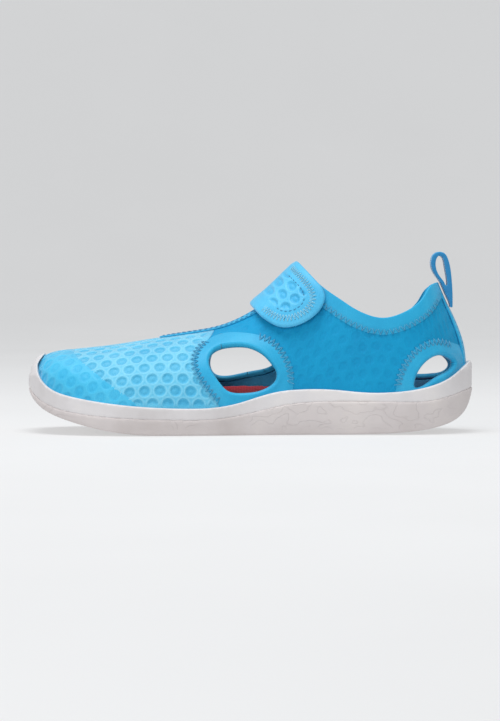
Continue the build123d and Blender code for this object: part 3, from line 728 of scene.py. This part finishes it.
def thread_finish(name, base, light):
    """Twisted sewing thread."""
    f = Finish(name, 0.5, 0.4, 0.3)
    place = f.place((1.0, 0.35, 1.0))
    twist = f.wave("DIAGONAL", place, 1.4, 0.4)
    f.colour(f.ramp(twist, [(0.2, base), (0.8, light)]))
    f.bump(twist, 0.05)
    return f.material


def webbing(name, dark, base, light):
    """Narrow woven tape: a close twill with shiny yarns."""
    f = Finish(name, 0.55, 0.4, 0.4)
    place = f.place((1.0, 1.0, 1.0), False)
    weave = f.math("MULTIPLY", f.wave("Y", place, 0.42, 0.3), f.wave("Z", place, 0.36, 0.6))
    fuzz = f.noise(place, 1.4)
    f.colour(f.ramp(f.math("ADD", f.math("MULTIPLY", weave, 0.7), f.math("MULTIPLY", fuzz, 0.3)),
                    [(0.1, dark), (0.45, base), (0.85, light)]))
    f.bump(weave, 0.16)
    return f.material


def woven(name, dark, base, light, pitch=0.8, sheen=0.4, roughness=0.8):
    """A plain woven or brushed lining, placed in the object's own space."""
    f = Finish(name, roughness, 0.25, sheen)
    place = f.place((1 / pitch,) * 3, False)
    weave = f.math("MULTIPLY", f.wave("X", place, 0.32, 0.8), f.wave("Y", place, 0.32, 0.8))
    patch = f.noise(place, 0.07, 4.0)
    f.colour(f.ramp(f.math("ADD", f.math("MULTIPLY", patch, 0.75), f.math("MULTIPLY", weave, 0.25)),
                    [(0.25, dark), (0.5, base), (0.75, light)]))
    f.bump(weave, 0.1)
    return f.material


def foam(name, dark, base):
    """Fine-celled foam or pressed board."""
    f = Finish(name, 0.85, 0.2)
    place = f.place(cloth=False)
    cells = f.add("TexVoronoi", {"feature": "F1"}, Vector=place, Scale=1.1)
    f.colour(f.ramp(cells.node.outputs["Distance"], [(0.1, dark), (0.6, base)]))
    f.bump(cells.node.outputs["Distance"], 0.12)
    return f.material


BLUE = jersey("jersey_blue", srgb(0, 128, 178), srgb(2, 146, 196), srgb(10, 160, 208), sheen=0.06,
              specular=0.2)
SKY = jersey("jersey_sky", srgb(38, 156, 202), srgb(86, 186, 221), srgb(142, 214, 238), sheen=0.9,
             specular=0.35)
TOE = jersey("toe_film", srgb(30, 154, 202), srgb(52, 176, 219), srgb(88, 200, 233), sheen=0.7,
             roughness=0.5, depth=0.02)
SMOOTH_BLUE = jersey("binding_blue", srgb(8, 140, 188), srgb(22, 160, 207), srgb(60, 184, 222),
                     sheen=0.35, roughness=0.5, depth=0.03)
LINING = jersey("lining_blue", srgb(34, 136, 184), srgb(56, 162, 208), srgb(96, 188, 226), sheen=0.2,
                roughness=0.8, depth=0.12)
STRAP = jersey("strap_blue", srgb(44, 158, 208), srgb(70, 178, 222), srgb(104, 198, 236), sheen=0.35,
               roughness=0.45, depth=0.03)
THREAD = thread_finish("thread_pale", srgb(96, 190, 226), srgb(158, 222, 242))
THREAD_SOFT = thread_finish("thread_soft", srgb(30, 140, 188), srgb(84, 184, 220))
THREAD_DEEP = thread_finish("thread_deep", srgb(26, 118, 168), srgb(48, 144, 192))
WHITE = rubber("rubber_white", srgb(216, 213, 214), srgb(200, 196, 196), srgb(226, 222, 220))
SOLE = rubber("rubber_sole", srgb(204, 197, 196), srgb(190, 182, 180), srgb(214, 207, 204),
              engraved=True)
RED = woven("insole_red", srgb(206, 34, 48), srgb(226, 48, 62), srgb(238, 70, 80), pitch=1.3)
WEB = webbing("webbing_blue", srgb(10, 120, 176), srgb(30, 152, 206), srgb(112, 202, 234))
FOAM = foam("midsole_foam", srgb(176, 174, 172), srgb(214, 212, 208))
BOARD = foam("strobel_board", srgb(150, 140, 120), srgb(196, 188, 170))
HOOK = foam("hook_tape", srgb(18, 96, 142), srgb(36, 128, 178))
LOOP = woven("loop_tape", srgb(14, 90, 136), srgb(28, 122, 172), srgb(60, 152, 200), 0.5, 0.8, 0.95)


# ---- the upper ---------------------------------------------------------------------------------
TUCK = 2.0  # how far panels go down behind the rand
HALF = NEOPRENE / 2
ROLL, ROLL_WIDTH = 1.35, 2.6  # the binding rolled round each vent's edge
FULL = grid_of(0.1, LAST - 0.1, -1, 1, STEP)


def part_of(grid, x0, x1, t0=-1.0, t1=1.0):
    """The rows and columns of a grid that lie between two x and two t."""
    U, T = grid
    x = off(U[:, U.shape[1] // 2], T[:, U.shape[1] // 2], 0.0)[:, 0]
    rows = np.nonzero((x > x0) & (x < x1))[0]
    middle = T[rows].mean(0)
    columns = np.nonzero((middle > t0) & (middle < t1))[0]
    cut = np.ix_(np.arange(rows[0], rows[-1] + 1), np.arange(columns[0], columns[-1] + 1))
    return U[cut], T[cut]


def side_of(p, which):
    """Distance into the outer (-1) or inner (1) half, parted at the throat and at the heel."""
    split = np.where(p[..., 0] < 50, 1.5, 0.0)
    return (p[..., 1] - split) * which


def behind_vamp(p):
    return -distance_in(VAMP_FRONT, side_view(p))


def rolled_vents(p, gap):
    return vents_distance(p) - gap


def worn(build, name, materials, body="shoe"):
    """The finished piece: its object, riding its body, in its CAD node's place."""
    obj = build.object(name, materials)
    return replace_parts(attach(obj, body), name)


def vamp_cells(along, g):
    """Distance to the nearest round cell of the vamp, which the toe film lies over."""
    return cell_distance(along - 3.0, g + 1.5, 6.85, 5.75)


def vamp():
    b = Build()

    def outline(p):
        return [(-behind_vamp(p), 0.15), (throat_distance(p), HALF), (rand_distance(p) + TUCK, 0.1)]

    def relief(p, along, g, s):
        """Rows of dimples, fainter under the toe film, none beside the throat and seams."""
        r = vamp_cells(along, g)
        film = smooth_step((distance_in(TOE_FRONT, side_view(p)) + 2.0) / 5.0)
        fade = smooth_step((throat_distance(p) - 5.2) / 1.5) * smooth_step((-behind_vamp(p) - 1.6) / 1.6)
        fade *= smooth_step((rand_distance(p) - 0.5) / 2.0)
        return dimple(r, 2.6, 0.62) * fade * (1 - 0.6 * film)

    grid = grid_of(0.1, 8.2, -1, 1, STEP * 0.85)
    panel(b, grid, outline, 0.0, -NEOPRENE, relief=relief, materials=(0, 0, 1))
    return worn(b, "vamp", [SKY, LINING])


def quarter(name, which):
    b = Build()

    def outline(p):
        parted = np.where(p[..., 0] > 50, side_of(p, which), side_of(p, which) + 4)
        return [(behind_vamp(p), 0.15), (throat_distance(p), HALF), (rand_distance(p) + TUCK, 0.1),
                (collar_distance(p), HALF), (rolled_vents(p, ROLL_WIDTH), 0.1), (parted, 0.05)]

    def relief(p, along, g, s):
        """Faint rows of square cells pressed through from the foam."""
        r = cell_distance(along, g, 6.3, 5.9)
        fade = smooth_step((s - 3.0) / 3.0)
        side_ring = -distance_in(RINGS["side"], side_view(p))
        heel_ring = -distance_in(RINGS["heel"], side_view(p))
        fade = fade * smooth_step(side_ring / 2.0) * smooth_step(heel_ring / 2.0)
        return dimple(r, 2.4, 0.17) * fade

    t0, t1 = (-1.0, 0.12) if which < 0 else (-0.12, 1.0)
    panel(b, part_of(FULL, -26, 99, t0, t1), outline, 0.0, -NEOPRENE, relief=relief, materials=(0, 0, 1))
    return worn(b, name, [BLUE, LINING])


def toe_cap():
    b = Build()

    def outline(p):
        return [(distance_in(TOE_FRONT, side_view(p)), 0.2), (rand_distance(p) + 1.0, 0.1)]

    def relief(p, along, g, s):
        r = vamp_cells(along, g)
        return dimple(r, 2.7, 0.3) * smooth_step(s / 2) * (1 - 0.75 * smooth_step((s - 3) / 12))

    def top(p):
        return 0.08 + 0.34 * smooth_step(distance_in(TOE_FRONT, side_view(p)) / 7.0)

    panel(b, grid_of(0.1, 6.2, -1, 1, STEP), outline, top, 0.02, relief=relief, steps=2)
    return worn(b, "toe_cap", [TOE])


def vent_facing(name, which, ring, vent, seams):
    """A binding round a vent: thin at its sewn outer edge, rolled round the opening's edge."""
    b = Build()

    def outline(p):
        hole = vent_distance(p, vent, which)
        inside = distance_in(RINGS[ring], side_view(p))
        pairs = [(inside + 0.6, 0.1), (hole, ROLL), (rand_distance(p) + 1.5, 0.1),
                 (side_of(p, which) + 0.5, 0.1), (throat_distance(p) - THROAT_BAND, 0.1)]
        if ring == "heel":
            pairs.append((np.abs(p[..., 1]) - 4.6, 0.1))
        return pairs

    def top(p):
        inside = np.clip(distance_in(RINGS[ring], side_view(p)) + 0.6, 0, 9)
        bead = 0.35 * np.exp(-((vent_distance(p, vent, which) - 1.0) / 1.6) ** 2)
        return 0.12 + (FACING - 0.12) * smooth_step(inside / 4.0) + bead

    def bottom(p):
        return np.where(vent_distance(p, vent, which) < ROLL_WIDTH - 0.2, -NEOPRENE - 0.15, 0.01)

    x0, x1 = (-30, 24) if ring == "side" else (60, 99)
    t0, t1 = (-1.0, 0.05) if which < 0 else (-0.05, 1.0)
    panel(b, part_of(FULL, x0, x1, t0, t1), outline, top, bottom, level=0.2, steps=7)
    for seam in seams:
        target = curve(seam, 0.6)
        u, t = locate(target, side_view, *((-0.98, -0.03) if which < 0 else (0.03, 0.98)), 0.4)
        zigzag(b, Path(u, t, 0.42), 3.4, 2.3, 0.21, 1)
    return worn(b, name, [SMOOTH_BLUE, THREAD_SOFT])


def collar_facing():
    b = Build()

    def outline(p):
        edge = collar_distance(p)
        return [(edge, 0.35), (COLLAR_BAND + 0.8 - edge, 0.1), (throat_distance(p), 0.3),
                (np.abs(p[..., 1]) - np.where(p[..., 0] > 60, 4.6, -60), 0.1)]

    def top(p):
        return 0.15 + (FACING - 0.15) * smooth_step((COLLAR_BAND + 0.8 - collar_distance(p)) / 3.0)

    for t0, t1 in ((-0.9, -0.01), (0.01, 0.9)):
        panel(b, part_of(FULL, 8, 97, t0, t1), outline, top, 0.01, level=0.3, steps=4)

    def along_collar(p):
        q = side_view(p).copy()
        q[..., 1] += COLLAR_TILT * p[..., 1]
        return q

    line = curve(COLLAR, 0.5)
    d = np.gradient(line, axis=0)
    d /= np.linalg.norm(d, axis=1, keepdims=True)
    seam = line + np.stack([d[:, 1], -d[:, 0]], 1) * (COLLAR_BAND - 0.6)
    seam = seam[(seam[:, 0] > 24) & (seam[:, 0] < 84)]
    for t0, t1 in ((-0.9, -0.05), (0.05, 0.9)):
        u, t = locate(seam, along_collar, t0, t1, 0.4, 8.6, 13.6)
        zigzag(b, Path(u, t, 0.42), 3.0, 2.6, 0.2, 1)
    return worn(b, "collar_facing", [SMOOTH_BLUE, THREAD_SOFT])


def throat_facing():
    b = Build()

    def outline(p):
        inside = throat_distance(p)
        return [(inside, 0.35), (THROAT_BAND - inside, 0.3),
                (collar_distance(p) - COLLAR_BAND + 0.4, 0.2)]

    panel(b, grid_of(4.6, 10.3, -0.45, 0.45, STEP * 0.8), outline, FACING, 0.01, level=0.3, steps=4)
    (ax, ay), rx, (y0, y1) = THROAT_APEX, THROAT_REAR_X, THROAT_REAR_Y
    for grow in (1.3, 3.2):
        tip = 1.6 + grow
        way = curve([(14, y0 - grow + 1.9), (ax + 8, ay - tip), (ax - grow, ay), (ax + 8, ay + tip),
                     (14, y1 + grow - 2.6)], 0.8)
        u, t = locate(way, lambda p: p[..., :2], -0.5, 0.6, 0.7, 4.4, 9.4)
        running(b, Path(u, t, FACING + 0.02), 1.5, 1.0, 0.17, 1)
    return worn(b, "throat_facing", [SMOOTH_BLUE, THREAD_DEEP])


def throat_gusset():
    b = Build()

    def outline(p):
        return [(-throat_distance(p, 3.0), 0.3), (collar_distance(p) - 0.3, 0.35)]

    def relief(p, along, g, s):
        return 0.12 * np.sin(along * 0.9) * smooth_step(s / 3)

    panel(b, grid_of(4.2, 11.2, -0.5, 0.5, STEP), outline, -NEOPRENE - 0.04, -NEOPRENE - 0.8,
          level=-NEOPRENE, relief=relief, materials=(0, 0, 1), steps=4)
    return worn(b, "throat_gusset", [BLUE, LINING])


def heel_tape():
    b = Build()

    def outline(p):
        return [(5.0 - np.abs(p[..., 1]), 0.5), (collar_distance(p), 0.35),
                (rand_distance(p) + 1.0, 0.1),
                (p[..., 0] - 78, 0.2)]

    def top(p):
        return TAPE - 0.25 * smooth_step((p[:, 2] - 54.0) / 3.0)

    panel(b, part_of(FULL, 70, 99.5, -0.7, 0.7), outline, top, 0.02, level=0.5, steps=4)
    for y in (-3.4, 3.4):
        heights = np.arange(36.5, 53.6, 0.7)
        target = np.stack([np.full(len(heights), y), heights], 1)
        u, t = locate(target, lambda p: p[..., 1:], -0.6, 0.6, TAPE, 13.0, 15.6)
        running(b, Path(u, t, TAPE + 0.02), 1.6, 0.9, 0.17, 1)
    return worn(b, "heel_tape", [SMOOTH_BLUE, THREAD_SOFT])


# ---- the strap ---------------------------------------------------------------------------------
SEAM_B = 5.0  # the strap's cross seam, on the inner side
TAB = np.vstack([curve(TAB_END, 0.7), [(STRAP_WIDTH, -30), (0, -30)]])


def rounded_box(a0, a1, b0, b1, r):
    """A box outline with round corners at its b1 end."""
    turn = np.linspace(0, math.pi / 2, 7)
    high = [(a1 - r + r * math.cos(w), b1 - r + r * math.sin(w)) for w in turn]
    low = [(a0 + r - r * math.sin(w), b1 - r + r * math.cos(w)) for w in turn]
    return np.array([(a1, b0), *high, *low, (a0, b0)])


ANCHOR_BOX = rounded_box(0, STRAP_WIDTH, -30, ANCHOR_END, 4.0)


def strap_cells(a, b, s):
    return dimple(cell_distance(a - 13.6, b - 8.2, 5.6, 4.9), 2.3, 0.66) * smooth_step((s - 7.2) / 1.2)


def strap_tab():
    b = Build()

    def outline(p):
        q = strap_frame(p)
        inner = p[..., 1] > STRAP_RIDGE_Y
        end = np.where(inner, 9.0, distance_in(TAB, q))
        seam = np.where(inner, SEAM_B - q[..., 1], 9.0)
        return [(q[..., 0], 1.2), (STRAP_WIDTH - q[..., 0], 1.2), (end, 1.25), (seam, 0.35)]

    def top(p):
        s = np.minimum.reduce([d for d, _ in outline(p)[:3]])
        return 4.2 - 0.5 * (1 - smooth_step(s / 3.6))

    def bottom(p):
        return 1.45 + 0.25 * smooth_step((STRAP_RIDGE_Y - p[:, 1]) / 6)

    def relief(p, along, g, s):
        q = strap_frame(p)
        s = np.minimum.reduce([d for d, _ in outline(p)[:3]])
        fold = smooth_step((-p[:, 1]) / 5)
        channel = -0.18 * np.exp(-((s - 4.2) / 1.5) ** 2)
        channel *= smooth_step((q[:, 0] - 1.5 - 3 * (q[:, 1] < 8)) / 3)
        return strap_cells(q[:, 0], q[:, 1], s) * fold + channel * fold

    panel(b, grid_of(6.6, 11.2, -0.85, 0.6, STEP * 0.8), outline, top, bottom, level=2.8, relief=relief,
          materials=(0, 0, 2), steps=7)
    rows = [(25.0, 1.5), (25.0, 7), (24.6, 13.4), (22.2, 17.9), (17.6, 19.4), (12, 18.3), (7.3, 15.4),
            (4.5, 10.6), (3.6, 6)]
    u, t = locate(curve(rows, 0.5), strap_frame, -0.85, -0.03, 4.0, 6.6, 11.2)
    zigzag(b, Path(u, t, 4.06), 3.3, 1.5, 0.19, 1)
    rows = [(21.6, 3.0), (21.8, 8), (21.2, 12.6), (19.2, 15.4), (16, 16.2), (12, 15.2), (9, 12.8),
            (7.6, 9)]
    u, t = locate(curve(rows, 0.5), strap_frame, -0.85, -0.03, 4.1, 6.6, 11.2)
    running(b, Path(u, t, 4.16), 1.3, 0.8, 0.17, 3)
    seam = curve([(2.0, SEAM_B - 0.1), (27.0, SEAM_B - 0.1)], 0.5)
    u, t = locate(seam, strap_frame, 0.03, 0.6, 4.1, 6.6, 11.2)
    zigzag(b, Path(u, t, 4.2), 2.6, 1.6, 0.19, 1)
    obj = b.object("strap_tab", [STRAP, THREAD, LINING, THREAD_DEEP])
    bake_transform(obj)
    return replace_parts(obj, "strap_tab")


def strap_bridge():
    b = Build()

    def outline(p):
        q = strap_frame(p)
        return [(distance_in(ANCHOR_BOX, q, 30.0), 1.3), (q[..., 1] - SEAM_B, 0.35),
                (p[..., 1] - 1.0, 0.1)]

    def top(p):
        q = strap_frame(p)
        s = distance_in(ANCHOR_BOX, q, 30.0)
        return 4.2 - 0.5 * (1 - smooth_step(s / 3.6)) - 1.0 * smooth_step((q[:, 1] - 14.5) / 6)

    def bottom(p):
        return 1.45 - 0.70 * smooth_step((strap_frame(p)[:, 1] - 14.5) / 3)

    def relief(p, along, g, s):
        q = strap_frame(p)
        s = distance_in(ANCHOR_BOX, q, 30.0)
        return strap_cells(q[:, 0], q[:, 1] + 3, s) * smooth_step((14.5 - q[:, 1]) / 2)

    panel(b, grid_of(6.6, 12.4, 0.02, 0.9, STEP * 0.8), outline, top, bottom, level=2.8, relief=relief,
          materials=(0, 0, 2), steps=7)
    for rows in ([(3.4, 16.6), (25.6, 16.6)], [(25.6, 16.6), (25.4, 21.8), (22.4, 22.6)],
                 [(22.4, 22.6), (6.6, 22.6)], [(6.6, 22.6), (3.6, 21.8), (3.4, 16.6)]):
        u, t = locate(curve(rows, 0.5), strap_frame, 0.03, 0.9, 3.2, 6.6, 12.4)
        zigzag(b, Path(u, t, 3.3), 2.4, 1.5, 0.19, 1)
    obj = b.object("strap_bridge", [STRAP, THREAD, LINING])
    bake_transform(obj)
    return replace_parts(obj, "strap_bridge", "strap_anchor")


def tape_patch(name, body, low, high, finish, hooks):
    """Half of the hook and loop fastening."""
    b = Build()
    box = rounded_box(5, 21, -30, 19.5, 1.5)

    def outline(p):
        q = strap_frame(p)
        return [(distance_in(box, q), 0.1), (q[..., 1] - 5.5, 0.1), (-p[..., 1], 0.1),
                (throat_distance(p) - THROAT_BAND - 0.1, 0.1)]

    def relief(p, along, g, s):
        if hooks:
            return np.zeros(len(p))
        pile = np.sin(along * 5.1 + 2 * np.sin(g * 1.3)) * np.sin(g * 4.7 + along)
        return 0.10 * pile * smooth_step(s)

    panel(b, grid_of(6.8, 11.0, -0.85, -0.02, STEP * 0.8), outline, high, low, level=(low + high) / 2,
          relief=relief, steps=3)
    if hooks:
        rows, columns = np.meshgrid(np.arange(6.2, 20.2, 1.15), np.arange(6.6, 19.0, 1.15))
        target = np.stack([rows.ravel(), columns.ravel()], 1)
        u, t = locate(target, strap_frame, -0.85, -0.02, low, 6.8, 11.0)
        roots, n = off(u, t, low + 0.05), normal(u, t)
        seen = strap_frame(roots)
        for p, up, ok in zip(roots, n, np.linalg.norm(seen - target, axis=1) < 0.4):
            if ok:
                bent, tip = p - up * 0.42 + [0.16, 0, 0.05], p - up * 0.32 + [0.3, 0, 0.1]
                tube(b, [p, p - up * 0.28, bent, tip], 0.09, 0, sides=4)
    return worn(b, name, [finish], body)


# ---- the sole and the insides ------------------------------------------------------------------
def sole_piece(name, finish, voxel, rounds, proud=0.0):
    """A piece of the sole with soft edges; its wall stands proud, in mm, above the ground."""
    obj = remeshed(name + "_visual", [name], voxel * (1.0), rounds, [finish])
    if proud:
        mesh = obj.data
        co, way = (np.zeros(len(mesh.vertices) * 3, np.float32) for _ in range(2))
        mesh.vertices.foreach_get("co", co)
        mesh.vertices.foreach_get("normal", way)
        co, way = co.reshape(-1, 3), way.reshape(-1, 3)
        way[:, 2] = np.maximum(way[:, 2], 0)
        share = smooth_step((co[:, 2] / MM - 1.5) / 4.0)
        share = share * smooth_step((np.abs(way[:, :2]).sum(1) - 0.05) / 0.3)
        co = co + way * (share * proud * MM)[:, None]
        mesh.vertices.foreach_set("co", co.astype(np.float32).ravel())
    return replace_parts(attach(obj, "shoe"), name)


def insole():
    obj = remeshed("insole_visual", ["insole_foam", "insole_cover"], 1.0, 3, [RED])
    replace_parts(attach(obj, "shoe"), "insole_foam", "insole_cover")
    return obj


def pull_loop():
    obj = remeshed("pull_loop_visual", ["pull_loop"], 0.35, 2, [WEB])
    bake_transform(obj)
    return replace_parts(obj, "pull_loop")


# ---- the studio --------------------------------------------------------------------------------
def area_light(name, place, target, size, power, colour=(1, 1, 1)):
    data = bpy.data.lights.new(name, "AREA")
    data.shape, data.size, data.energy, data.color = "DISK", size, power, colour
    obj = bpy.data.objects.new(name, data)
    obj.location = place
    obj.rotation_euler = (Vector(target) - Vector(place)).to_track_quat("-Z", "Y").to_euler()
    bpy.context.scene.collection.objects.link(obj)


def studio():
    scene = bpy.context.scene
    camera = bpy.data.cameras.new("camera")
    camera.sensor_width, camera.lens = 36.0, 132.7
    camera.clip_start, camera.clip_end = 0.05, 20.0
    obj = bpy.data.objects.new("camera", camera)
    obj.location = (0.0001, -1.2, 0.075)
    aim = Vector((0.0001, 0.0, 0.0318))
    obj.rotation_euler = (aim - obj.location).to_track_quat("-Z", "Y").to_euler()
    scene.collection.objects.link(obj)
    scene.camera = obj

    rise = [(0.0, 0.0), (0.4, 0.0), (1.7, 0.0)]
    rise += [(1.7 + 1.0 * math.sin(w), 1.0 - 1.0 * math.cos(w)) for w in np.linspace(0.15, 1.5, 10)]
    around, verts = 64, []
    for r, z in rise:
        verts += [(r * math.cos(2 * math.pi * k / around), r * math.sin(2 * math.pi * k / around), z)
                  for k in range(around)]
    faces = [(i * around + k, i * around + (k + 1) % around, (i + 1) * around + (k + 1) % around,
              (i + 1) * around + k) for i in range(len(rise) - 1) for k in range(around)]
    mesh = bpy.data.meshes.new("floor")
    mesh.from_pydata(verts, [], faces)
    mesh.polygons.foreach_set("use_smooth", np.ones(len(faces), bool))
    floor = bpy.data.objects.new("floor", mesh)
    floor.location.z = -0.0002
    scene.collection.objects.link(floor)
    f = Finish("floor", 0.75, 0.2)
    place = f.place(cloth=False)
    greys = [(0.3, srgb(153, 154, 155)), (0.7, srgb(158, 159, 160))]
    f.colour(f.ramp(f.noise(place, 0.004), greys))
    f.shader.inputs["Emission Color"].default_value = (1, 1, 1, 1)
    f.shader.inputs["Emission Strength"].default_value = 0.46
    mesh.materials.append(f.material)

    world = bpy.data.worlds.new("studio")
    world.use_nodes = True
    world.node_tree.nodes["Background"].inputs[0].default_value = (0.93, 0.96, 1.0, 1)
    world.node_tree.nodes["Background"].inputs[1].default_value = 0.44
    scene.world = world
    scene.view_settings.view_transform = "Standard"
    area_light("top", (-0.1, -0.12, 1.0), (0, 0, 0.03), 0.7, 8.6)
    area_light("front", (-0.35, -1.2, 0.32), (0, 0, 0.03), 0.6, 3.4)


studio()
vamp()
quarter("outer_quarter", -1)
quarter("inner_quarter", 1)
toe_cap()
for word, which in (("outer", -1), ("inner", 1)):
    for ring, seams in (("side", [FRONT_LEG, REAR_LEG]), ("heel", [HEEL_SEAM])):
        name = f"{word}_{ring}_vent_facing"
        vent_facing(name, which, ring, f"{word}_{ring}", seams)
collar_facing()
throat_facing()
throat_gusset()
heel_tape()
strap_bridge()
strap_tab()
tape_patch("hook_patch", "strap_tab", 1.05, 1.65, HOOK, True)
tape_patch("loop_patch", "shoe", 0.02, 0.72, LOOP, False)
sole_piece("outsole", SOLE, 0.55, 2, 0.4)
sole_piece("foxing_band", WHITE, 0.5, 2)
insole()
pull_loop()
for name, finish in (("midsole_core", FOAM), ("strobel_board", BOARD)):
    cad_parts[name].data.materials.clear()
    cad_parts[name].data.materials.append(finish)
